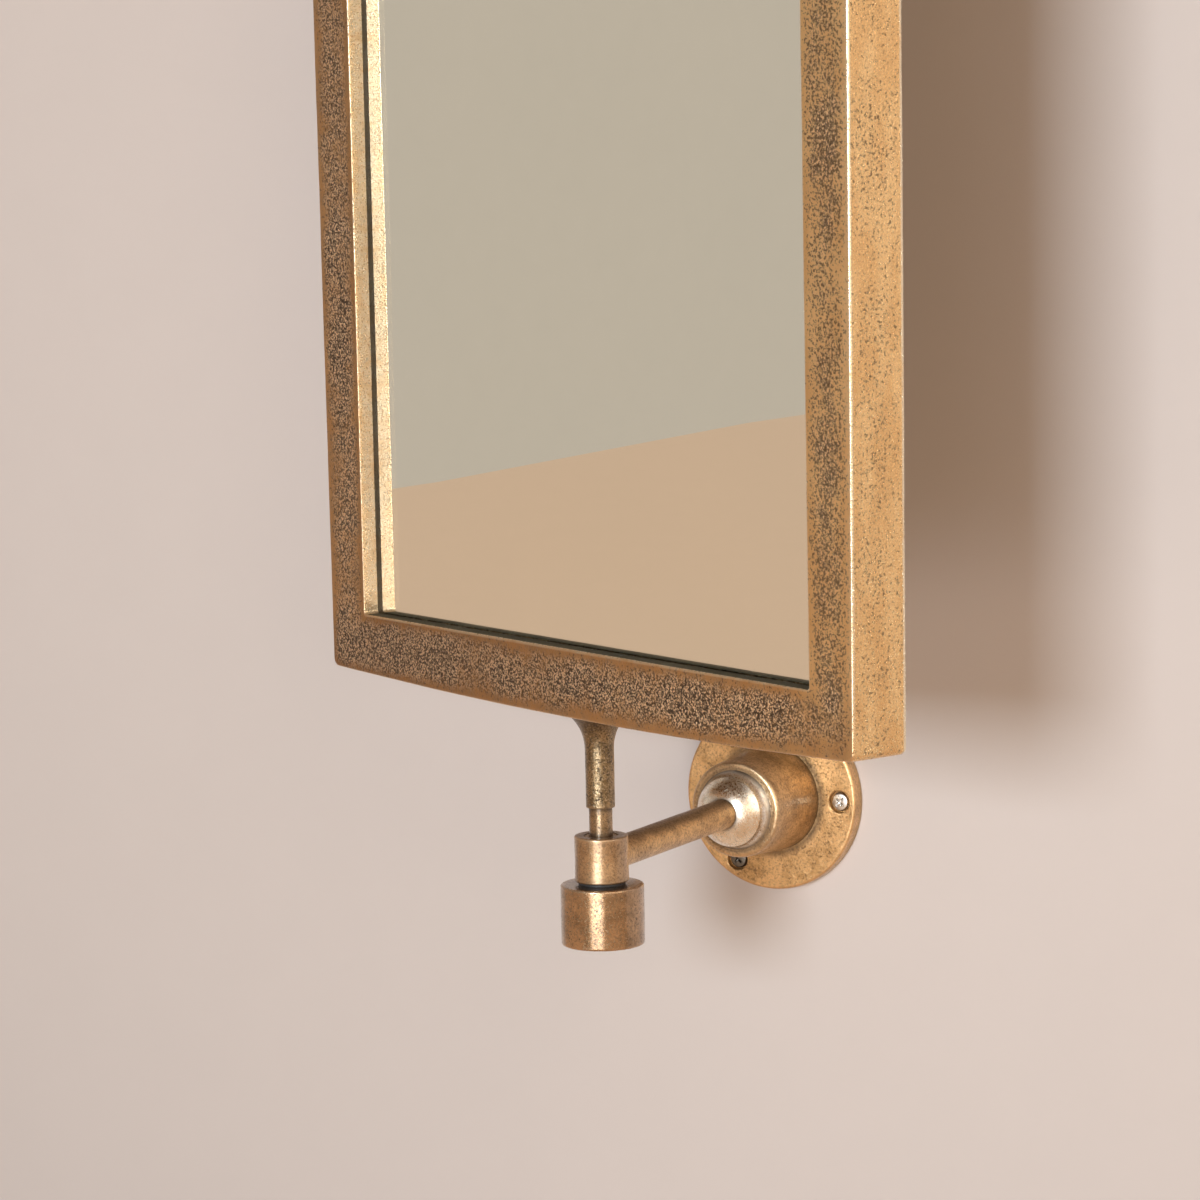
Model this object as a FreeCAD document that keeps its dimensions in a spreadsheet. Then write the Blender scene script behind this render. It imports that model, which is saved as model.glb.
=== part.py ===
"""Rotating full-length mirror: a framed glass that turns on pivots between two wall arms.

Millimetres. The origin is the centre of the lower wall plate's back face, on the wall.
+X runs to the right along the wall, +Y goes into the wall and +Z is up, so the mirror
faces -Y. The leaf stands turned by rest_angle about the pivot axis, which is upright and
arm_reach in front of the wall. The upper bracket is the lower one turned upside down.
"""
import FreeCAD, Part
import math
import os
import Sketcher

# Driving dimensions: alias, value, what it measures.
SIZES = (
    ("rest_angle", -24, "degrees that the leaf stands turned about the pivot axis"),
    ("frame_width", 340, "frame, corner to corner across"),
    ("frame_height", 1310, "frame, corner to corner upright"),
    ("frame_depth", 26, "frame, front to back"),
    ("stile_width", 24.6, "side member of the frame at a corner"),
    ("rail_height", 24, "top or bottom member of the frame at a corner"),
    ("stile_bow", 3, "how far a side bulges past its corners"),
    ("rail_bow", 3.6, "how far the top or bottom bulges past its corners"),
    ("corner_radius", 2.5, "outer corners of the frame"),
    ("sight_radius", 1.5, "corners of the opening in front of the glass"),
    ("front_edge_radius", 0.8, "rounding of the frame's outer front edge"),
    ("back_edge_radius", 1.2, "rounding of the frame's outer back edge"),
    ("lip_thickness", 6.8, "front lip that holds the glass"),
    ("glass_lap", 8, "glass hidden behind the lip on each side"),
    ("glass_clearance", 1, "room round the glass in the rebate"),
    ("glass_thickness", 3, "mirror glass"),
    ("packing_width", 12, "strip behind the edge of the glass"),
    ("panel_thickness", 12, "back panel"),
    ("clip_length", 20, "panel clip, from the frame's edge inward"),
    ("clip_width", 12, "panel clip, along the edge"),
    ("clip_thickness", 1.5, "panel clip, plate"),
    ("clip_corner_radius", 3, "panel clip, corners"),
    ("clip_inset", 9, "clip screw, from the outer edge of the frame at a corner"),
    ("clip_end_margin", 150, "outermost clip, from the corner level of the frame"),
    ("clip_screw_diameter", 3, "shank of a clip screw"),
    ("clip_screw_depth", 6, "shank of a clip screw inside the frame"),
    ("clip_head_diameter", 6, "head of a clip screw"),
    ("clip_head_height", 1.8, "head of a clip screw"),
    ("arm_reach", 155, "wall to the pivot axis"),
    ("arm_diameter", 12.7, "bar of the arm"),
    ("arm_socket_depth", 2, "end of the arm let into the plate"),
    ("plate_diameter", 80, "wall plate"),
    ("plate_thickness", 7.2, "wall plate"),
    ("plate_edge", 1, "chamfer on the plate's front edge"),
    ("boss_base_diameter", 46, "boss where it stands on the plate"),
    ("boss_front_diameter", 41, "boss at its front ring"),
    ("boss_height", 33, "boss, plate to front ring"),
    ("boss_wall", 4, "side wall of the hollow boss"),
    ("boss_face_thickness", 8, "front wall of the hollow boss"),
    ("boss_edge", 0.8, "chamfer on the boss's front ring"),
    ("dome_base_diameter", 33.8, "dome where it stands on the boss"),
    ("dome_diameter", 29.4, "dome above its cove"),
    ("dome_cove_height", 5.6, "coved foot of the dome"),
    ("dome_rise", 5.6, "dome, cove to where the arm comes out"),
    ("dome_cove_radius", 7, "hollow of the cove"),
    ("dome_ball_radius", 19.5, "round of the dome"),
    ("arm_screw_diameter", 8, "machine screw that holds the arm"),
    ("arm_screw_head_diameter", 16, "its countersunk head"),
    ("arm_screw_grip", 20, "thread inside the arm"),
    ("arm_screw_sink", 0.4, "head below the plate's back face"),
    ("screw_edge_margin", 7.5, "wall screw, from the rim of the plate to its middle"),
    ("wall_screw_diameter", 4.2, "thread of a wall screw behind the plate"),
    ("wall_screw_neck", 3.4, "plain neck of a wall screw inside the plate"),
    ("wall_screw_room", 0.2, "room for the thread to pass through the plate"),
    ("wall_screw_grip", 35, "thread behind the plate"),
    ("wall_head_diameter", 8, "head of a wall screw"),
    ("wall_head_height", 2.6, "head of a wall screw"),
    ("wall_head_room", 0.7, "room round the head in its counterbore"),
    ("wall_head_bore_depth", 3, "counterbore in the plate for the head"),
    ("cross_slot_length", 4.6, "cross recess in a wall screw's head"),
    ("cross_slot_width", 1, "cross recess in a wall screw's head"),
    ("cross_slot_depth", 1.4, "cross recess in a wall screw's head"),
    ("sleeve_diameter", 21.6, "tube that the pin turns in"),
    ("sleeve_rise", 9.4, "mirror end of the sleeve, from the arm's axis"),
    ("sleeve_height", 18.3, "tube that the pin turns in"),
    ("sleeve_edge", 0.8, "chamfer on the ends of the sleeve"),
    ("bush_diameter", 13.6, "bearing in the sleeve"),
    ("bush_inset", 0.3, "ends of the bearing below the ends of the sleeve"),
    ("pin_diameter", 9.3, "pivot pin"),
    ("pin_gap", 11.2, "bare pin between sleeve and stem"),
    ("pin_frame_grip", 12, "pin inside the rail of the frame"),
    ("pin_knob_grip", 16, "pin inside the knob"),
    ("stem_length", 36.6, "stem, pin gap to the frame"),
    ("stem_diameter", 11.7, "stem"),
    ("stem_edge", 0.3, "chamfer on the free end of the stem"),
    ("flare_diameter", 23, "stem where it meets the frame"),
    ("flare_height", 13, "flared part of the stem"),
    ("washer_diameter", 18.6, "washer between sleeve and knob"),
    ("washer_thickness", 1.2, "washer between sleeve and knob"),
    ("knob_diameter", 33.3, "knob"),
    ("knob_height", 24, "knob"),
    ("knob_edge", 0.8, "chamfer on the knob's ends"),
    ("turning_clearance", 0.05, "room round the pin in its bearing and under the sleeve"),
    ("fixed_clearance", 0.05, "room round pieces that are screwed, pressed or soldered in"),
)
WALL_SCREW_COUNT = 3
STILE_CLIP_COUNT = 4
FULL_TURN = 360.0
HALF_TURN = 180.0
SAME_PLACE = 0.001

# Lengths that follow from the driving dimensions, measured from the arm's axis.
SLEEVE_FOOT = "(Sizes.sleeve_rise - Sizes.sleeve_height)"
STEM_FOOT = "(Sizes.sleeve_rise + Sizes.pin_gap)"
FRAME_FOOT = f"({STEM_FOOT} + Sizes.stem_length)"
CORNER_FOOT = f"({FRAME_FOOT} + Sizes.rail_bow)"
CORNER_HEAD = f"({CORNER_FOOT} + Sizes.frame_height)"
FRAME_HEAD = f"({CORNER_HEAD} + Sizes.rail_bow)"
ARM_SPACING = f"({FRAME_HEAD} + {FRAME_FOOT})"
WASHER_HEAD = f"({SLEEVE_FOOT} - Sizes.turning_clearance)"
KNOB_HEAD = f"({WASHER_HEAD} - Sizes.washer_thickness)"
KNOB_FOOT = f"({KNOB_HEAD} - Sizes.knob_height)"
PIN_FOOT = f"({KNOB_HEAD} - Sizes.pin_knob_grip)"

# Radii shared by pieces that fit one another.
PIN_RADIUS = "(Sizes.pin_diameter / 2)"
PIN_HOLE_RADIUS = f"({PIN_RADIUS} + Sizes.fixed_clearance)"
ARM_RADIUS = "(Sizes.arm_diameter / 2)"
ARM_HOLE_RADIUS = f"({ARM_RADIUS} + Sizes.fixed_clearance)"
ARM_SCREW_RADIUS = "(Sizes.arm_screw_diameter / 2)"
ARM_SCREW_HOLE_RADIUS = f"({ARM_SCREW_RADIUS} + Sizes.fixed_clearance)"
SLEEVE_RADIUS = "(Sizes.sleeve_diameter / 2)"

# Distances from the wall along the arm, and the room in the frame's rebate.
ARM_FOOT = "(Sizes.plate_thickness - Sizes.arm_socket_depth)"
BOSS_FRONT = "(Sizes.plate_thickness + Sizes.boss_height)"
COVE_FRONT = f"({BOSS_FRONT} + Sizes.dome_cove_height)"
DOME_FRONT = f"({COVE_FRONT} + Sizes.dome_rise)"
WALL_HEAD_SEAT = "(Sizes.plate_thickness - Sizes.wall_head_bore_depth)"
WALL_HEAD_FRONT = f"({WALL_HEAD_SEAT} + Sizes.wall_head_height)"
SCREW_CIRCLE_RADIUS = "(Sizes.plate_diameter / 2 - Sizes.screw_edge_margin)"
HALF_WIDTH = "(Sizes.frame_width / 2)"
HALF_DEPTH = "(Sizes.frame_depth / 2)"
REBATE_STILE = "(Sizes.stile_width - Sizes.glass_lap - Sizes.glass_clearance)"
REBATE_RAIL = "(Sizes.rail_height - Sizes.glass_lap - Sizes.glass_clearance)"
GLASS_FRONT = f"({HALF_DEPTH} - Sizes.lip_thickness)"
GLASS_BACK = f"({GLASS_FRONT} - Sizes.glass_thickness)"
PANEL_FRONT = f"(Sizes.panel_thickness - {HALF_DEPTH})"
CLIP_X = f"({HALF_WIDTH} - Sizes.clip_inset)"

doc = FreeCAD.newDocument("rotating_mirror")
sheet = doc.addObject("Spreadsheet::Sheet", "Sizes")


def fill_sheet():
    """Write every driving dimension into the sheet under its alias."""
    for row, (alias, value, meaning) in enumerate(SIZES, start=1):
        sheet.set(f"A{row}", meaning)
        sheet.set(f"B{row}", str(value))
        sheet.setAlias(f"B{row}", alias)
    doc.recompute()


def measure(expression):
    """The present value of an expression, as a plain number."""
    return float(sheet.evalExpression(expression))


def origin_part(body, role):
    """One of a body's own origin planes or axes."""
    return next(part for part in body.Origin.OriginFeatures if part.Role == role)


def new_body(name):
    body = doc.addObject("PartDesign::Body", name)
    body.Label = name
    return body


def new_sketch(body, name, plane, lift="0"):
    """An empty sketch on an origin plane, raised along the plane's normal by lift."""
    sketch = body.newObject("Sketcher::SketchObject", f"{body.Name}_{name}")
    sketch.AttachmentSupport = [(origin_part(body, plane), "")]
    sketch.MapMode = "FlatFace"
    sketch.setExpression("AttachmentOffset.Base.z", lift)
    return sketch


def tie(sketch, kind, geometry, point, expression):
    """Hold one coordinate of a sketch point at the value of an expression."""
    rule = Sketcher.Constraint(kind, -1, 1, geometry, point, measure(expression))
    number = sketch.addConstraint(rule)
    sketch.setExpression(f"Constraints[{number}]", expression)


def tie_radius(sketch, geometry, expression):
    number = sketch.addConstraint(Sketcher.Constraint("Radius", geometry, measure(expression)))
    sketch.setExpression(f"Constraints[{number}]", expression)


def arc_through(start, end, radius, side):
    """The short arc of the given radius, bulging left (side 1) or right (side -1) of its travel."""
    chord = end - start
    half = chord.Length / 2
    left = FreeCAD.Vector(-chord.y, chord.x, 0).normalize()
    sagitta = radius - math.sqrt(max(radius**2 - half**2, 0))
    middle = (start + end) / 2 + left * (side * sagitta)
    return Part.Arc(start, middle, end)


def draw_outline(sketch, corners):
    """A closed outline. A corner is (x, y), or (x, y, radius, side) to leave it along an arc."""
    spots = [FreeCAD.Vector(measure(corner[0]), measure(corner[1]), 0) for corner in corners]
    edges = []
    for number, corner in enumerate(corners):
        start = spots[number]
        end = spots[(number + 1) % len(corners)]
        if len(corner) == 2:
            shape = Part.LineSegment(start, end)
        else:
            shape = arc_through(start, end, measure(corner[2]), corner[3])
        edges.append(sketch.addGeometry(shape, False))
    # A sketch counts an arc's ends anticlockwise, so an arc that bulges left is met end first.
    ends = [(2, 1) if len(corner) > 2 and corner[3] > 0 else (1, 2) for corner in corners]
    for number, corner in enumerate(corners):
        following = (number + 1) % len(corners)
        join = (edges[number], ends[number][1], edges[following], ends[following][0])
        sketch.addConstraint(Sketcher.Constraint("Coincident", *join))
        tie(sketch, "DistanceX", edges[number], ends[number][0], corner[0])
        tie(sketch, "DistanceY", edges[number], ends[number][0], corner[1])
        if len(corner) > 2:
            tie_radius(sketch, edges[number], corner[2])


def draw_circle(sketch, across, along, radius):
    middle = FreeCAD.Vector(measure(across), measure(along), 0)
    circle = sketch.addGeometry(Part.Circle(middle, FreeCAD.Vector(0, 0, 1), measure(radius)), False)
    tie(sketch, "DistanceX", circle, 3, across)
    tie(sketch, "DistanceY", circle, 3, along)
    tie_radius(sketch, circle, radius)


def box_corners(half_across, foot, head):
    """Corners of a rectangle that is centred across and runs from foot to head."""
    left = f"-({half_across})"
    return [(left, foot), (half_across, foot), (half_across, head), (left, head)]


def rounded_corners(left, right, foot, head, radius):
    """A rectangle with rounded corners, anticlockwise."""
    return [
        (f"{left} + {radius}", foot), (f"{right} - {radius}", foot, radius, -1),
        (right, f"{foot} + {radius}"), (right, f"{head} - {radius}", radius, -1),
        (f"{right} - {radius}", head), (f"{left} + {radius}", head, radius, -1),
        (left, f"{head} - {radius}"), (left, f"{foot} + {radius}", radius, -1),
    ]


def turned(name, plane, profile):
    """A body turned about the sketch's upright axis from half of its section."""
    body = new_body(name)
    sketch = new_sketch(body, "section", plane)
    draw_outline(sketch, profile)
    turning = body.newObject("PartDesign::Revolution", f"{name}_turning")
    turning.Profile = (sketch, [""])
    turning.ReferenceAxis = (sketch, ["V_Axis"])
    turning.Angle = FULL_TURN
    return body


def pad(body, sketch, length, name="pad"):
    feature = body.newObject("PartDesign::Pad", f"{body.Name}_{name}")
    feature.Profile = (sketch, [""])
    feature.setExpression("Length", length)
    return feature


def pocket(body, sketch, length, along_normal=False, name="pocket"):
    """Cut against the sketch's normal, or along it. A cut that removes nothing is an error."""
    doc.recompute()
    before = body.Shape.Volume
    feature = body.newObject("PartDesign::Pocket", f"{body.Name}_{name}")
    feature.Profile = (sketch, [""])
    feature.Reversed = along_normal
    feature.setExpression("Length", length)
    doc.recompute()
    if body.Shape.Volume >= before:
        raise RuntimeError(f"{feature.Name} cuts nothing")
    return feature


def pattern_round(body, originals, axis, count):
    pattern = body.newObject("PartDesign::PolarPattern", f"{body.Name}_pattern")
    pattern.Originals = originals
    pattern.Axis = (origin_part(body, axis), [""])
    pattern.Angle = FULL_TURN
    pattern.Occurrences = count
    body.Tip = pattern


def round_face_rim(body, level, radius, name):
    """Round the rim of the flat face that lies square to Y at the given level."""
    doc.recompute()
    base = body.Tip
    picked = []
    for number, edge in enumerate(base.Shape.Edges, start=1):
        if max(abs(vertex.Y - level) for vertex in edge.Vertexes) < SAME_PLACE:
            picked.append(f"Edge{number}")
    rounding = body.newObject("PartDesign::Fillet", f"{body.Name}_{name}")
    rounding.Base = (base, picked)
    rounding.setExpression("Radius", radius)


def flip(body, upper):
    """Turn a piece of the upper set upside down and lift it to the upper arm."""
    if upper:
        body.Placement.Rotation = FreeCAD.Rotation(FreeCAD.Vector(0, 1, 0), HALF_TURN)
        body.setExpression("Placement.Base.z", ARM_SPACING)


def stand_on_pivot(body, upper):
    """Stand a piece that is turned about the pivot axis at its arm."""
    flip(body, upper)
    body.setExpression("Placement.Base.y", "-Sizes.arm_reach")


def hang_on_leaf(body):
    """Set a piece of the leaf on the pivot axis, turned as the leaf stands."""
    body.setExpression("Placement.Base.y", "-Sizes.arm_reach")
    body.setExpression("Placement.Rotation.Angle", "Sizes.rest_angle")


def make_wall_plate(name):
    rim = "(Sizes.plate_diameter / 2)"
    front = "-Sizes.plate_thickness"
    sink = "(Sizes.arm_screw_head_diameter / 2)"
    body = turned(name, "XY_Plane", [
        (sink, "0"), (rim, "0"),
        (rim, f"{front} + Sizes.plate_edge"), (f"{rim} - Sizes.plate_edge", front),
        (ARM_HOLE_RADIUS, front), (ARM_HOLE_RADIUS, f"-{ARM_FOOT}"),
        (ARM_SCREW_HOLE_RADIUS, f"-{ARM_FOOT}"),
        (ARM_SCREW_HOLE_RADIUS, f"-({sink} - {ARM_SCREW_HOLE_RADIUS})"),
    ])
    through = new_sketch(body, "screw_hole", "XZ_Plane", "Sizes.plate_thickness")
    draw_circle(through, SCREW_CIRCLE_RADIUS, "0", "Sizes.wall_screw_diameter / 2 + Sizes.wall_screw_room")
    hole = pocket(body, through, "Sizes.plate_thickness", name="screw_hole_cut")
    mouth = new_sketch(body, "head_bore", "XZ_Plane", "Sizes.plate_thickness")
    draw_circle(mouth, SCREW_CIRCLE_RADIUS, "0", "Sizes.wall_head_diameter / 2 + Sizes.wall_head_room")
    bore = pocket(body, mouth, "Sizes.wall_head_bore_depth", name="head_bore_cut")
    pattern_round(body, [hole, bore], "Y_Axis", WALL_SCREW_COUNT)
    return body


def make_boss(name):
    base = "(Sizes.boss_base_diameter / 2)"
    ring = "(Sizes.boss_front_diameter / 2)"
    edge = "Sizes.boss_edge"
    inner_front = f"({BOSS_FRONT} - Sizes.boss_face_thickness)"
    return turned(name, "XY_Plane", [
        (base, "-Sizes.plate_thickness"), (ring, f"-({BOSS_FRONT} - {edge})"),
        (f"{ring} - {edge}", f"-{BOSS_FRONT}"), (ARM_HOLE_RADIUS, f"-{BOSS_FRONT}"),
        (ARM_HOLE_RADIUS, f"-{inner_front}"), (f"{ring} - Sizes.boss_wall", f"-{inner_front}"),
        (f"{base} - Sizes.boss_wall", "-Sizes.plate_thickness"),
    ])


def make_dome(name):
    return turned(name, "XY_Plane", [
        (ARM_HOLE_RADIUS, f"-{BOSS_FRONT}"),
        ("Sizes.dome_base_diameter / 2", f"-{BOSS_FRONT}", "Sizes.dome_cove_radius", 1),
        ("Sizes.dome_diameter / 2", f"-{COVE_FRONT}", "Sizes.dome_ball_radius", -1),
        (ARM_HOLE_RADIUS, f"-{DOME_FRONT}"),
    ])


def make_arm(name):
    thread_end = f"({ARM_FOOT} + Sizes.arm_screw_grip)"
    body = turned(name, "XY_Plane", [
        ("0", f"-{thread_end}"), (ARM_SCREW_HOLE_RADIUS, f"-{thread_end}"),
        (ARM_SCREW_HOLE_RADIUS, f"-{ARM_FOOT}"), (ARM_RADIUS, f"-{ARM_FOOT}"),
        (ARM_RADIUS, "-Sizes.arm_reach"), ("0", "-Sizes.arm_reach"),
    ])
    saddle = new_sketch(body, "saddle", "XY_Plane", ARM_RADIUS)
    draw_circle(saddle, "0", "-Sizes.arm_reach", SLEEVE_RADIUS)
    pocket(body, saddle, "Sizes.arm_diameter", name="saddle_cut")
    return body


def make_arm_screw(name):
    head = "(Sizes.arm_screw_head_diameter / 2)"
    tip = f"({ARM_FOOT} + Sizes.arm_screw_grip - Sizes.arm_screw_sink)"
    return turned(name, "XY_Plane", [
        ("0", "-Sizes.arm_screw_sink"), (f"{head} - Sizes.arm_screw_sink", "-Sizes.arm_screw_sink"),
        (ARM_SCREW_RADIUS, f"-({head} - {ARM_SCREW_RADIUS})"),
        (ARM_SCREW_RADIUS, f"-{tip}"), ("0", f"-{tip}"),
    ])


def make_wall_screws(name):
    """Three cross-head screws, the first turned about a line through its own middle."""
    body = new_body(name)
    section = new_sketch(body, "section", "XY_Plane")
    head = f"({SCREW_CIRCLE_RADIUS} + Sizes.wall_head_diameter / 2)"
    neck = f"({SCREW_CIRCLE_RADIUS} + Sizes.wall_screw_neck / 2)"
    thread = f"({SCREW_CIRCLE_RADIUS} + Sizes.wall_screw_diameter / 2)"
    draw_outline(section, [
        (SCREW_CIRCLE_RADIUS, f"-{WALL_HEAD_FRONT}"), (head, f"-{WALL_HEAD_FRONT}"),
        (head, f"-{WALL_HEAD_SEAT}"), (neck, f"-{WALL_HEAD_SEAT}"), (neck, "0"), (thread, "0"),
        (thread, "Sizes.wall_screw_grip"), (SCREW_CIRCLE_RADIUS, "Sizes.wall_screw_grip"),
    ])
    turning = body.newObject("PartDesign::Revolution", f"{name}_turning")
    turning.Profile = (section, [""])
    turning.ReferenceAxis = (section, ["Edge8"])
    turning.Angle = FULL_TURN
    cross = new_sketch(body, "cross", "XZ_Plane", WALL_HEAD_FRONT)
    reach = "(Sizes.cross_slot_length / 2)"
    half = "(Sizes.cross_slot_width / 2)"
    arms = [(reach, f"-{half}"), (reach, half), (half, half), (half, reach),
            (f"-{half}", reach), (f"-{half}", half), (f"-{reach}", half), (f"-{reach}", f"-{half}"),
            (f"-{half}", f"-{half}"), (f"-{half}", f"-{reach}"), (half, f"-{reach}"), (half, f"-{half}")]
    draw_outline(cross, [(f"{SCREW_CIRCLE_RADIUS} + {across}", along) for across, along in arms])
    recess = pocket(body, cross, "Sizes.cross_slot_depth", name="cross_cut")
    pattern_round(body, [turning, recess], "Y_Axis", WALL_SCREW_COUNT)
    return body


def make_sleeve(name):
    bore = "(Sizes.bush_diameter / 2)"
    edge = "Sizes.sleeve_edge"
    return turned(name, "XZ_Plane", [
        (bore, SLEEVE_FOOT), (f"{SLEEVE_RADIUS} - {edge}", SLEEVE_FOOT),
        (SLEEVE_RADIUS, f"{SLEEVE_FOOT} + {edge}"), (SLEEVE_RADIUS, f"Sizes.sleeve_rise - {edge}"),
        (f"{SLEEVE_RADIUS} - {edge}", "Sizes.sleeve_rise"), (bore, "Sizes.sleeve_rise"),
    ])


def make_tube(name, inner, outer, foot, head):
    return turned(name, "XZ_Plane", [(inner, foot), (outer, foot), (outer, head), (inner, head)])


def make_bush(name):
    bearing = f"({PIN_RADIUS} + Sizes.turning_clearance)"
    outside = "(Sizes.bush_diameter / 2 - Sizes.fixed_clearance)"
    foot = f"{SLEEVE_FOOT} + Sizes.bush_inset"
    return make_tube(name, bearing, outside, foot, "Sizes.sleeve_rise - Sizes.bush_inset")


def make_pin(name):
    """A plain bar that ends just short of the bottom of its holes in the rail and the knob."""
    head = f"({FRAME_FOOT} + Sizes.pin_frame_grip - Sizes.fixed_clearance)"
    foot = f"({PIN_FOOT} + Sizes.fixed_clearance)"
    return make_tube(name, "0", PIN_RADIUS, foot, head)


def make_stem(name):
    """A tube that flares to the frame along an arc tangent to its straight part."""
    radius = "(Sizes.stem_diameter / 2)"
    spread = f"(Sizes.flare_diameter / 2 - {radius})"
    flare_arc = f"(({spread} ^ 2 + Sizes.flare_height ^ 2) / (2 * {spread}))"
    edge = "Sizes.stem_edge"
    return turned(name, "XZ_Plane", [
        (PIN_HOLE_RADIUS, STEM_FOOT), (f"{radius} - {edge}", STEM_FOOT), (radius, f"{STEM_FOOT} + {edge}"),
        (radius, f"{FRAME_FOOT} - Sizes.flare_height", flare_arc, 1),
        ("Sizes.flare_diameter / 2", FRAME_FOOT), (PIN_HOLE_RADIUS, FRAME_FOOT),
    ])


def make_washer(name):
    return make_tube(name, PIN_HOLE_RADIUS, "(Sizes.washer_diameter / 2)", KNOB_HEAD, WASHER_HEAD)


def make_knob(name):
    radius = "(Sizes.knob_diameter / 2)"
    edge = "Sizes.knob_edge"
    return turned(name, "XZ_Plane", [
        ("0", KNOB_FOOT), (f"{radius} - {edge}", KNOB_FOOT),
        (radius, f"{KNOB_FOOT} + {edge}"), (radius, f"{KNOB_HEAD} - {edge}"),
        (f"{radius} - {edge}", KNOB_HEAD), (PIN_HOLE_RADIUS, KNOB_HEAD),
        (PIN_HOLE_RADIUS, PIN_FOOT), ("0", PIN_FOOT),
    ])


def bow_radius(chord, bow):
    """Radius of the shallow arc that bulges past its chord by bow."""
    return f"((({chord}) ^ 2 / 4 + {bow} ^ 2) / (2 * {bow}))"


def draw_bowed_outline(sketch):
    """Four shallow arcs, anticlockwise from the foot, with a small arc tangent at each corner."""
    upright = FreeCAD.Vector(0, 0, 1)
    corner = measure("Sizes.corner_radius")
    rail_arc = bow_radius("Sizes.frame_width", "Sizes.rail_bow")
    stile_arc = bow_radius("Sizes.frame_height", "Sizes.stile_bow")
    stile_centre = f"({HALF_WIDTH} + Sizes.stile_bow - {stile_arc})"
    middle = f"(({FRAME_FOOT} + {FRAME_HEAD}) / 2)"
    sides = (
        (rail_arc, "0", f"{FRAME_FOOT} + {rail_arc}", HALF_WIDTH),
        (stile_arc, stile_centre, middle, "(Sizes.frame_height / 2)"),
        (rail_arc, "0", f"{FRAME_HEAD} - {rail_arc}", HALF_WIDTH),
        (stile_arc, f"-{stile_centre}", middle, "(Sizes.frame_height / 2)"),
    )
    chain = []
    for quarter, (radius, across, along, half_run) in enumerate(sides):
        centre = FreeCAD.Vector(measure(across), measure(along), 0)
        facing = (quarter - 1) * math.pi / 2
        reach = math.asin((measure(half_run) - corner) / measure(radius))
        circle = Part.Circle(centre, upright, measure(radius))
        side = sketch.addGeometry(Part.ArcOfCircle(circle, facing - reach, facing + reach), False)
        tie(sketch, "DistanceX", side, 3, across)
        tie(sketch, "DistanceY", side, 3, along)
        tie_radius(sketch, side, radius)
        x_sign, y_sign = ((1, -1), (1, 1), (-1, 1), (-1, -1))[quarter]
        spot = FreeCAD.Vector(x_sign * (measure(HALF_WIDTH) - corner),
                              measure(middle) + y_sign * (measure("Sizes.frame_height") / 2 - corner), 0)
        turn = Part.ArcOfCircle(Part.Circle(spot, upright, corner), facing, facing + math.pi / 2)
        bend = sketch.addGeometry(turn, False)
        tie_radius(sketch, bend, "Sizes.corner_radius")
        chain += [side, bend]
    for number, edge in enumerate(chain):
        following = chain[(number + 1) % len(chain)]
        sketch.addConstraint(Sketcher.Constraint("Tangent", edge, 2, following, 1))


def clip_places():
    """Across and upright places of the clip screws, down one side and up the other."""
    span = "(Sizes.frame_height - 2 * Sizes.clip_end_margin)"
    heights = [f"({CORNER_FOOT} + Sizes.clip_end_margin + {span} * {number} / {STILE_CLIP_COUNT - 1})"
               for number in range(STILE_CLIP_COUNT)]
    return [(side, height) for side in (-1, 1) for height in heights]


def make_frame(name):
    """One casting: bowed outline, opening, rebate from behind, and holes for pins and screws."""
    body = new_body(name)
    outline = new_sketch(body, "outline", "XZ_Plane", f"-{HALF_DEPTH}")
    draw_bowed_outline(outline)
    pad(body, outline, "Sizes.frame_depth")
    for sign, radius, word in ((-1, "front_edge_radius", "front"), (1, "back_edge_radius", "back")):
        round_face_rim(body, sign * measure(HALF_DEPTH), f"Sizes.{radius}", f"{word}_rounding")

    sight = new_sketch(body, "sight", "XZ_Plane", f"-{HALF_DEPTH}")
    sight_edge = f"({HALF_WIDTH} - Sizes.stile_width)"
    draw_outline(sight, rounded_corners(
        f"-{sight_edge}", sight_edge, f"({CORNER_FOOT} + Sizes.rail_height)",
        f"({CORNER_HEAD} - Sizes.rail_height)", "Sizes.sight_radius"))
    pocket(body, sight, "Sizes.frame_depth", along_normal=True, name="sight_cut")
    rebate = new_sketch(body, "rebate", "XZ_Plane", f"-{HALF_DEPTH}")
    draw_outline(rebate, box_corners(
        f"({HALF_WIDTH} - {REBATE_STILE})", f"({CORNER_FOOT} + {REBATE_RAIL})",
        f"({CORNER_HEAD} - {REBATE_RAIL})"))
    pocket(body, rebate, "Sizes.frame_depth - Sizes.lip_thickness", along_normal=True, name="rebate_cut")

    for level, upward, word in ((FRAME_FOOT, True, "foot"), (FRAME_HEAD, False, "head")):
        pin_hole = new_sketch(body, f"{word}_pin_hole", "XY_Plane", level)
        draw_circle(pin_hole, "0", "0", PIN_HOLE_RADIUS)
        pocket(body, pin_hole, "Sizes.pin_frame_grip", along_normal=upward, name=f"{word}_pin_cut")
    screw_holes = new_sketch(body, "screw_holes", "XZ_Plane", f"-{HALF_DEPTH}")
    for side, height in clip_places():
        draw_circle(screw_holes, f"{side} * {CLIP_X}", height,
                    "(Sizes.clip_screw_diameter / 2 + Sizes.fixed_clearance)")
    pocket(body, screw_holes, "Sizes.clip_screw_depth + Sizes.fixed_clearance", along_normal=True,
           name="screw_cut")
    return body


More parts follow.
